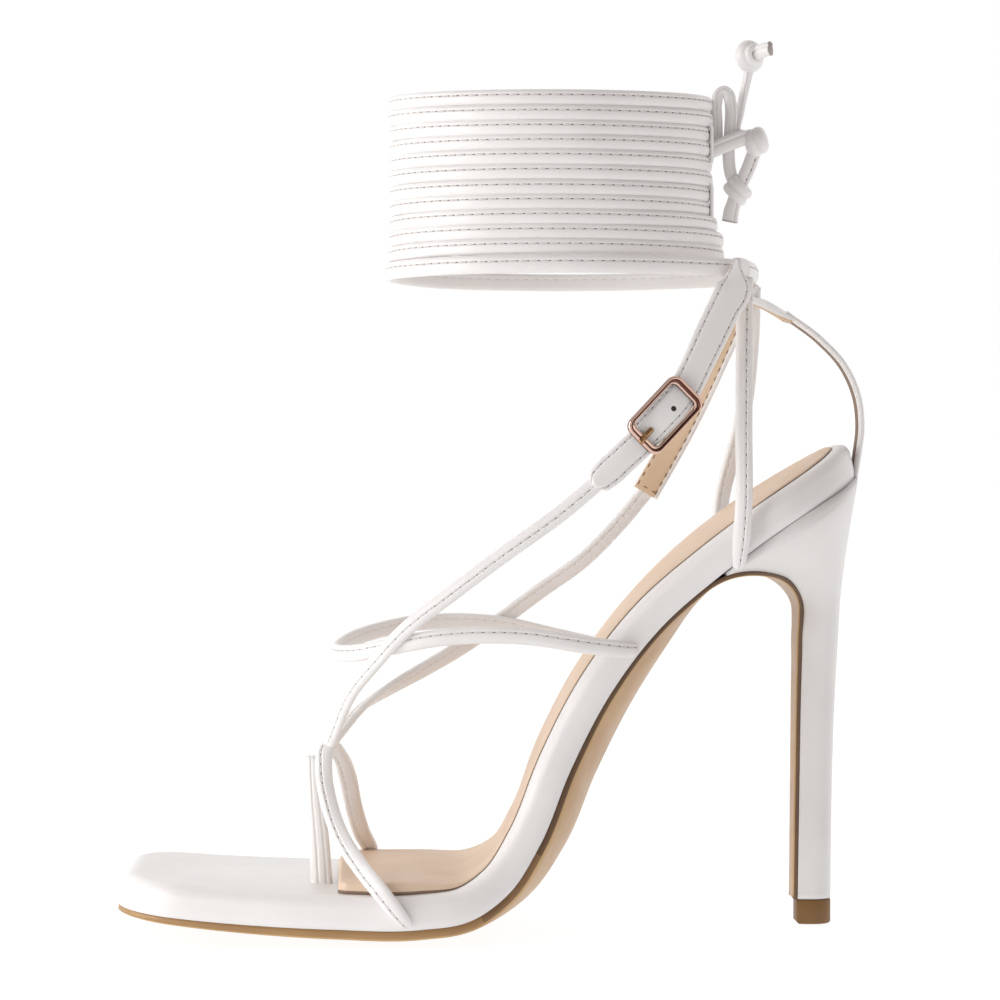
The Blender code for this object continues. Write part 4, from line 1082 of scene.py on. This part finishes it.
def sew_end(line, section):
    """Keeps one stitch row across the lining, a little way in from the strap's first end."""
    at = int(END_ROW_IN / STRAP_STEP)
    share = np.linspace(-1.0, 1.0, END_ROW_POINTS)[:, None]
    depth = section.thick / 2 - END_ROW_SINK
    path = line.path[at] + share * line.half[at] * line.side[at] - line.outward[at] * depth
    facing = np.tile(-line.outward[at], (len(path), 1))
    along = np.tile(np.cross(line.outward[at], line.side[at]), (len(path), 1))
    stitch_rows["lining"].append(StitchRow(path, facing, along))


def strap(piece):
    """One strap of the upper, through its rows, its outer face turned away from its core line."""
    length = run_along(np.array(piece.rows)[:, :3])[-1]
    fine = smooth(piece.rows, int(length / STRAP_STEP) + 2)
    line = ribbon(fine[:, :3], away_from(fine[:, :3], piece.core), fine[:, 3] / 2)
    points, faces, lined = strap_surface(line, piece.section)
    if piece.section is not POST:
        sew(line, piece.section)
    if piece.rows is SIDE_STRAP_OUTER:
        sew_end(line, piece.section)
    # the sling's lining is painted dark brown as the shade it lies in; other linings take the lining leather
    backing = PAINTED_SHADE_BROWN if piece.section is SLING_LINED else LINING_LEATHER
    add_piece(piece.name, points, faces, [WHITE_LEATHER, backing], lined, ["upper"])
    return line


def stitch_frames(row, offsets):
    """Place, outward and sideways direction of a stitch row at offsets from the middle of each stitch."""
    run = run_along(row.path)
    count = int((run[-1] - STITCH_PITCH / 2) / STITCH_PITCH)
    at = STITCH_PITCH * (STITCH_START + np.arange(count))[:, None] + offsets
    return [np.stack([np.interp(at, run, column) for column in values.T], -1) for values in row]


def stitches(name, rows, thread):
    """All stitches of one thread as one piece: short tapered tubes whose ends sink into the leather."""
    angle = full_turn(STITCH_SIDES)
    lift = STITCH_RADIUS / 2 - STITCH_SINK * (2 * np.abs(STITCH_RINGS)) ** 3
    radius = (STITCH_RADIUS * STITCH_TAPER)[None, :, None, None]
    spots = []
    for row in rows:
        place, normal, across = stitch_frames(row, STITCH_RINGS * STITCH_LENGTH)
        centre = place + normal * lift[None, :, None]
        ring = across[:, :, None] * np.cos(angle)[:, None] + normal[:, :, None] * np.sin(angle)[:, None]
        spots.append(centre[:, :, None] + radius * ring)
    points = np.concatenate(spots)
    rings = len(STITCH_RINGS)
    index = point_numbers(rings, STITCH_SIDES)
    walls = cells(index, wrap_columns=True)
    starts = np.arange(len(points)) * rings * STITCH_SIDES
    faces = (starts[:, None, None] + walls).reshape(-1, 4).tolist()
    for end in (index[0], index[-1]):
        faces += (starts[:, None] + end).tolist()
    add_piece(name, points.reshape(-1, 3), faces, [thread])


def painted_stitch_shadows(rows):
    """Painted shadows of the needle holes between the stitches, as one piece: small flat dark eight-sided
    gems in the grooves.
    """
    corners = np.array([(1, 0, 0), (0, 1, 0), (-1, 0, 0), (0, -1, 0), (0, 0, 1), (0, 0, -1)]) * STITCH_SHADOW_SIZE
    upper_sides = [(0, 1, 4), (1, 2, 4), (2, 3, 4), (3, 0, 4)]
    lower_sides = [(1, 0, 5), (2, 1, 5), (3, 2, 5), (0, 3, 5)]
    sides = np.array(upper_sides + lower_sides)
    gems = []
    for row in rows:
        place, normal, across = (values[:, 0] for values in stitch_frames(row, np.array([STITCH_PITCH / 2])))
        axes = np.stack([np.cross(normal, across), across, normal], 1)
        gems.append(place[:, None] + corners @ axes)
    gems = np.concatenate(gems)
    faces = (np.arange(len(gems))[:, None, None] * len(corners) + sides).reshape(-1, 3)
    add_piece("painted_stitch_shadows", gems.reshape(-1, 3), faces, [STITCH_SHADOW_FINISH])


def ankle_loop(name, row):
    """A folded loop of leather round the lowest turn: a flat strip carried round a soft rectangle."""
    turn = smooth(LOW_TURN, TURN_STEPS, closed=True)
    at = int(np.argmin(np.linalg.norm(turn - np.array(row), axis=1)))
    along = unit(turn[(at + 1) % TURN_STEPS] - turn[at - 1])
    outward = unit(np.cross(along, (0.0, 0.0, 1.0)))
    up = np.cross(outward, along)
    angles = full_turn(LOOP_STEPS)
    spread_out = np.sign(np.cos(angles)) * np.abs(np.cos(angles)) ** LOOP_SQUARENESS
    spread_up = np.sign(np.sin(angles)) * np.abs(np.sin(angles)) ** LOOP_SQUARENESS
    reach_out = TURN_THICK / 2 + LOOP_CLEAR + LOOP_WALL / 2
    reach_up = TURN_WIDTH / 2 + LOOP_CLEAR + LOOP_WALL / 2
    path = turn[at] + np.outer(spread_out * reach_out, outward) + np.outer(spread_up * reach_up, up)
    line = ribbon(path, path - turn[at], LOOP_LENGTH / 2, closed=True)
    points, faces, _ = strap_surface(line, LOOP_SECTION, closed=True)
    add_white(name, points, faces, "upper")


def from_leg(path):
    """Level directions from the leg's middle to the points."""
    outward = path - np.array((WRAP_MIDDLE_X, 0.0, 0.0))
    outward[:, 2] = 0.0
    return outward


def ankle_wrap_turns():
    """Wound turns, a little uneven: each is an ellipse that leans slightly more than the one below it."""
    angles = full_turn(WRAP_STEPS)
    points, faces, start = [], [], 0
    for turn in range(WRAP_TURNS):
        level = turn + 0.5
        loose, shift, phase = RANDOM.uniform(-1.0, 1.0, 3)
        reach = np.clip(LOW_BACK_TURNS - turn, 0.0, 1.0) * LOW_BACK_REACH
        wave = WRAP_WAVE * np.sin(2 * angles + WAVE_PHASE * phase)
        x = WRAP_MIDDLE_X + (WRAP_HALF_LENGTH + WRAP_JITTER * loose + wave) * np.cos(angles)
        x = x + np.clip(np.cos(angles), 0.0, 1.0) * reach
        y = (WRAP_HALF_WIDTH + WRAP_JITTER * shift + wave) * np.sin(angles)
        lean = math.tan(WRAP_TILT * level / WRAP_TURNS)
        z = WRAP_BOTTOM + level * WRAP_PITCH + lean * (y + WRAP_HALF_WIDTH)
        path = np.stack([x, y, z + WRAP_RIPPLE * np.sin(angles + RIPPLE_PHASE * phase)], 1)
        line = ribbon(path, from_leg(path), WRAP_PITCH / 2 + WRAP_OVERLAP, closed=True)
        ring, ring_faces, _ = strap_surface(line, WRAP_SECTION, closed=True)
        points.append(ring)
        faces.append(np.array(ring_faces) + start)
        start += len(ring)
        sew(line, WRAP_SECTION)
    add_white("ankle_wrap_turns", np.vstack(points), np.vstack(faces), "ankle_wrap")


def wrap_bindings():
    """Two narrow upright strips that bind the turns together: the wrap's outline, with ends that tuck in."""
    share = np.linspace(0.0, 1.0, BINDING_STEPS)
    normal = np.array((math.cos(BINDING_TURN), math.sin(BINDING_TURN), 0.0))
    tuck = BINDING_TUCK * np.abs(2 * share - 1) ** BINDING_TUCK_POWER
    bulge = WRAP_THICK / 2 + BINDING_PROUD - tuck
    x = WRAP_MIDDLE_X + (WRAP_HALF_LENGTH + bulge) * normal[0]
    y = (WRAP_HALF_WIDTH + bulge) * normal[1]
    for number, (low, high) in enumerate(BINDING_SPANS):
        path = np.stack([x, y, low + (high - low) * share], 1)
        line = ribbon(path, np.tile(normal, (BINDING_STEPS, 1)), BINDING_WIDTH / 2)
        points, faces, _ = strap_surface(line, BINDING_SECTION)
        add_white(f"wrap_binding_{number}", points, faces, "ankle_wrap")


def ankle_turn():
    """The lowest turn of the tie, which passes through both ankle loops."""
    path = smooth(LOW_TURN, TURN_STEPS, closed=True)
    line = ribbon(path, from_leg(path), TURN_WIDTH / 2, closed=True)
    points, faces, _ = strap_surface(line, TURN_SECTION, closed=True)
    sew(line, TURN_SECTION)
    add_white("ankle_turn_strap", points, faces, "ankle_turn_low")


# Buckle


def buckle_axes():
    """Middle of the buckle, its long axis, its width axis and the direction away from the foot."""
    low, high = np.array(BUCKLE_LOW), np.array(BUCKLE_HIGH)
    along = unit(high - low)
    outward = np.array(BUCKLE_FACE)
    outward = unit(outward - along * (outward @ along))
    return (low + high) / 2, along, np.cross(outward, along), outward


def rounded_rectangle(length, width, radius):
    """A rectangle with round corners, as points along and across: straight sides and quarter circles."""
    turn = quarter_turn(BUCKLE_CORNER_POINTS)
    corners = []
    for quarter, (sign_x, sign_y) in enumerate(((1, 1), (-1, 1), (-1, -1), (1, -1))):
        angle = turn + quarter * math.pi / 2
        x = sign_x * (length / 2 - radius) + radius * np.cos(angle)
        y = sign_y * (width / 2 - radius) + radius * np.sin(angle)
        corners.append(np.stack([x, y], 1))
    sides = []
    for quarter in range(4):
        here, there = corners[quarter], corners[(quarter + 1) % 4]
        share = np.linspace(0.0, 1.0, BUCKLE_SIDE_POINTS + 2)[1:-1, None]
        sides += [here, here[-1] + (there[0] - here[-1]) * share]
    return np.vstack(sides)


def buckle_rim():
    """Rose gold frame: a raised outer bar with a lower lip inside it, carried round a rounded rectangle; its
    walls and groove are painted dark as reflections.
    """
    middle, along, across, outward = buckle_axes()
    loops = []
    for row in BUCKLE_RIM:
        length = BUCKLE_LENGTH - 2 * BUCKLE_END_BAR * row.inwards
        width = BUCKLE_WIDTH - 2 * BUCKLE_SIDE_BAR * row.inwards
        plan = rounded_rectangle(length, width, BUCKLE_ROUND - BUCKLE_ROUND_LOSS * row.inwards)
        loops.append(middle + plan[:, :1] * along + plan[:, 1:] * across + row.height * outward)
    size = len(loops[0])
    faces = cells(point_numbers(len(loops), size), wrap_rows=True, wrap_columns=True)
    # 1 marks the faces of painted dark reflection
    dark = np.repeat([row.finish for row in BUCKLE_RIM], size)
    finishes = [ROSE_METAL, PAINTED_REFLECTION_METAL]
    add_piece("buckle_rim", np.vstack(loops), faces, finishes, dark, ["buckle_frame"])


def round_tube(path, radii, sides, outward):
    """Points and faces of a tube: circles of the radii carried along the path, closed at the ends."""
    line = ribbon(path, outward, 1.0)
    angle = full_turn(sides)
    ring = line.side[:, None] * np.cos(angle)[:, None] + line.outward[:, None] * np.sin(angle)[:, None]
    return stacked(path[:, None] + radii[:, None, None] * ring)


def buckle_pin():
    """Short prong: it curls round the lower bar and lies along the strap, with a round end."""
    middle, along, _, outward = buckle_axes()
    share = np.linspace(0.0, 1.0, PRONG_STEPS)
    reach = PRONG_FROM + (PRONG_TO - PRONG_FROM) * share
    lift = PRONG_LIFT * np.sin(np.clip(1.0 - share * PRONG_CURL, 0.0, 1.0) * math.pi / 2) + PRONG_CLEAR
    path = middle - np.outer(BUCKLE_LENGTH / 2 - reach, along) + np.outer(lift, outward)
    radii = PRONG_RADIUS * np.sqrt(np.clip(1.0 - (2 * share - 1) ** PRONG_BLUNT, PRONG_END, 1.0))
    points, faces = round_tube(path, radii, PRONG_SIDES, np.tile(outward, (PRONG_STEPS, 1)))
    add_piece("buckle_pin", points, faces, [PRONG_METAL], replaced=["buckle_prong"])


def strap_hole_shadow(line):
    """Punched hole in the strap as painted shadow: a dark disc with a soft rim, just above the strap's outer
    face.
    """
    at = int(HOLE_SHARE * len(line.path))
    angle = full_turn(HOLE_POINTS)
    along = np.cross(line.outward[at], line.side[at])
    disc = HOLE_RADIUS * (np.outer(np.cos(angle), along) + np.outer(np.sin(angle), line.side[at]))
    middle = line.path[at] + HOLE_ASIDE * line.side[at]
    loops = [middle + row.share * disc + row.height * line.outward[at] for row in HOLE_RINGS]
    points, faces = stacked(loops)
    add_piece("strap_hole_shadow", points, faces, [HOLE_SHADOW_FINISH])


# Tie ends


def knot_ball(name, knot):
    """A tight knot: fat rings of the tie round one axis, each a circle of radius minor round major."""
    axis = unit(np.array(knot.axis))
    right = unit(np.cross(axis, (0.0, 0.0, 1.0)))
    up = np.cross(right, axis)
    turn = full_turn(KNOT_STEPS)
    angle = full_turn(KNOT_SIDES)
    spoke = np.outer(np.cos(turn), right) + np.outer(np.sin(turn), up)
    index = point_numbers(KNOT_STEPS, KNOT_SIDES)
    points, faces = [], []
    for number, ring in enumerate(knot.rings):
        reach = ring.major + ring.minor * np.cos(angle) + KNOT_LUMP * np.sin(2 * turn + number)[:, None]
        rise = ring.along + ring.minor * np.sin(angle) + KNOT_LEAN * np.sin(turn)[:, None]
        grid = np.array(knot[:3]) + reach[..., None] * spoke[:, None] + rise[..., None] * axis
        points.append(grid.reshape(-1, 3))
        faces.append(cells(index + number * index.size, wrap_rows=True, wrap_columns=True))
    return add_white(name, np.vstack(points), np.vstack(faces), "tie_" + name)


def tie_cord(name, route, replaced, sewn=False):
    """A folded leather tie along its route, with a groove and cut ends; gives the piece and its path."""
    fine = smooth(route, TIE_STEPS)
    path = fine[:, :3]
    line = ribbon(path, np.tile(TIE_FACE, (TIE_STEPS, 1)), fine[:, 3] / 2)
    points, faces, _ = strap_surface(line, TIE_SECTION)
    if sewn:
        sew(line, TIE_SECTION)
    cut = np.zeros(len(faces), int)
    cut[-2:] = 1
    return add_piece(name, points, faces, [WHITE_LEATHER, CUT_LEATHER], cut, replaced), path


def ties():
    """The two ends of the tie as cords: the loop with its low knot, and the upper end with two knots."""
    loop, loop_path = tie_cord("tie_loop_end", TIE_LOOP, ["tie_loop", "tie_tail_low"])
    end, end_path = tie_cord("tie_upper_end", TIE_END, ["tie_strand_out", "tie_strand_up", "tie_tail_top"])
    link, _ = tie_cord("tie_link", TIE_LINK, ["tie_strand_link"], sewn=True)
    wound = {name: knot_ball(name, knot) for name, knot in KNOTS.items()}
    declare_cord(loop, loop_path)
    declare_cord(end, end_path)


def declare_cord(piece, path):
    """Works out a tie end's route in metres and its length from its path, and keeps neither."""
    route = [tuple(point) for point in (path * MM).tolist()]
    length = float(run_along(path)[-1]) * MM
    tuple(route[0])


# Stage, light and camera


def studio():
    """White floor that bends up behind into a wall: flat, a quarter round, and upright, the same along X."""
    bend = quarter_turn(STAGE_POINTS)
    y = np.concatenate([[-STAGE_HALF], STAGE_BACK + STAGE_BEND * np.sin(bend), [STAGE_BACK + STAGE_BEND]])
    z = np.concatenate([[0.0], STAGE_BEND * (1 - np.cos(bend)), [STAGE_HALF]]) - STAGE_DROP
    x = np.array([-STAGE_HALF, STAGE_HALF])
    grid = np.stack([np.tile(x, (len(y), 1)), np.tile(y[:, None], 2), np.tile(z[:, None], 2)], -1)
    mesh = bpy.data.meshes.new("studio_floor")
    mesh.from_pydata(grid.reshape(-1, 3).tolist(), [], cells(point_numbers(len(y), 2)).tolist())
    mesh.shade_smooth()
    paint = bpy.data.materials.new("studio_white")
    paint.use_nodes = True
    shader = paint.node_tree.nodes["Principled BSDF"]
    shader.inputs["Base Color"].default_value = (STAGE_GREY, STAGE_GREY, STAGE_GREY, 1.0)
    shader.inputs["Roughness"].default_value = STAGE_ROUGH
    shader.inputs["Emission Color"].default_value = (1.0, 1.0, 1.0, 1.0)
    shader.inputs["Emission Strength"].default_value = STAGE_GLOW
    mesh.materials.append(paint)
    floor = bpy.data.objects.new("studio_floor", mesh)
    bpy.context.scene.collection.objects.link(floor)
    floor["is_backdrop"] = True


def aim(thing, place, target):
    """Puts a lamp or the camera at a place, looking at a target, both in millimetres."""
    where = Vector(place) * MM
    thing.location = where
    thing.rotation_euler = (Vector(target) * MM - where).to_track_quat("-Z", "Y").to_euler()
    bpy.context.scene.collection.objects.link(thing)


def lamps():
    """Soft square lamps round the shoe, and a warm sky, dimmer in front than behind, that shows as white."""
    for row in LAMPS:
        light = bpy.data.lights.new(row.name, "AREA")
        light.energy = row.power
        light.size = row.size
        light.spread = math.radians(row.spread)
        aim(bpy.data.objects.new(row.name, light), row.place, row.target)
    world = bpy.data.worlds.new("white_sky")
    world.use_nodes = True
    tree = world.node_tree
    place = tree.nodes.new("ShaderNodeTexCoord")
    parts = tree.nodes.new("ShaderNodeSeparateXYZ")
    tree.links.new(place.outputs["Generated"], parts.inputs["Vector"])
    depth = tree.nodes.new("ShaderNodeMapRange")
    depth.inputs["From Min"].default_value = -1.0
    depth.inputs["To Min"].default_value = SKY_FRONT
    depth.inputs["To Max"].default_value = SKY_BACK
    tree.links.new(parts.outputs["Y"], depth.inputs["Value"])
    sky = tree.nodes["Background"]
    sky.inputs["Color"].default_value = (*SKY_TINT, 1.0)
    tree.links.new(depth.outputs["Result"], sky.inputs["Strength"])
    seen = tree.nodes.new("ShaderNodeBackground")
    seen.inputs["Color"].default_value = (1.0, 1.0, 1.0, 1.0)
    ray = tree.nodes.new("ShaderNodeLightPath")
    mix = tree.nodes.new("ShaderNodeMixShader")
    tree.links.new(ray.outputs["Is Camera Ray"], mix.inputs["Fac"])
    tree.links.new(sky.outputs["Background"], mix.inputs[1])
    tree.links.new(seen.outputs["Background"], mix.inputs[2])
    tree.links.new(mix.outputs["Shader"], tree.nodes["World Output"].inputs["Surface"])
    bpy.context.scene.world = world


def camera():
    """The camera at the photograph's angle."""
    lens = bpy.data.cameras.new("photo_camera")
    lens.lens = CAMERA_LENS
    lens.clip_start = CAMERA_NEAR
    eye = bpy.data.objects.new("photo_camera", lens)
    aim(eye, CAMERA_AT, CAMERA_LOOKS_AT)
    bpy.context.scene.camera = eye


def shoe():
    """All pieces of the sandal."""
    ties()
    sole_line = Sweep(SOLE)
    footbed_cover(sole_line)
    insole_sock(sole_line)
    outsole_leather(sole_line)
    heel_cover(sole_line)
    heel_top_piece()
    lines = {piece.name: strap(piece) for piece in STRAPS}
    for name, row in LOOP_ROWS.items():
        ankle_loop(name, LOW_TURN[row])
    ankle_wrap_turns()
    wrap_bindings()
    ankle_turn()
    buckle_rim()
    buckle_pin()
    strap_hole_shadow(lines["side_strap_inner"])
    painted_stitch_shadows(stitch_rows["white"])
    stitches("white_stitches", stitch_rows["white"], WHITE_THREAD)
    stitches("lining_stitches", stitch_rows["lining"], LINING_THREAD)


camera()
shoe()
studio()
lamps()
bpy.context.scene.view_settings.view_transform = "Standard"

boxes = {"cad": CAD_BOUNDS, "visual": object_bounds()}
{name: [list(map(float, corner)) for corner in box] for name, box in boxes.items()}
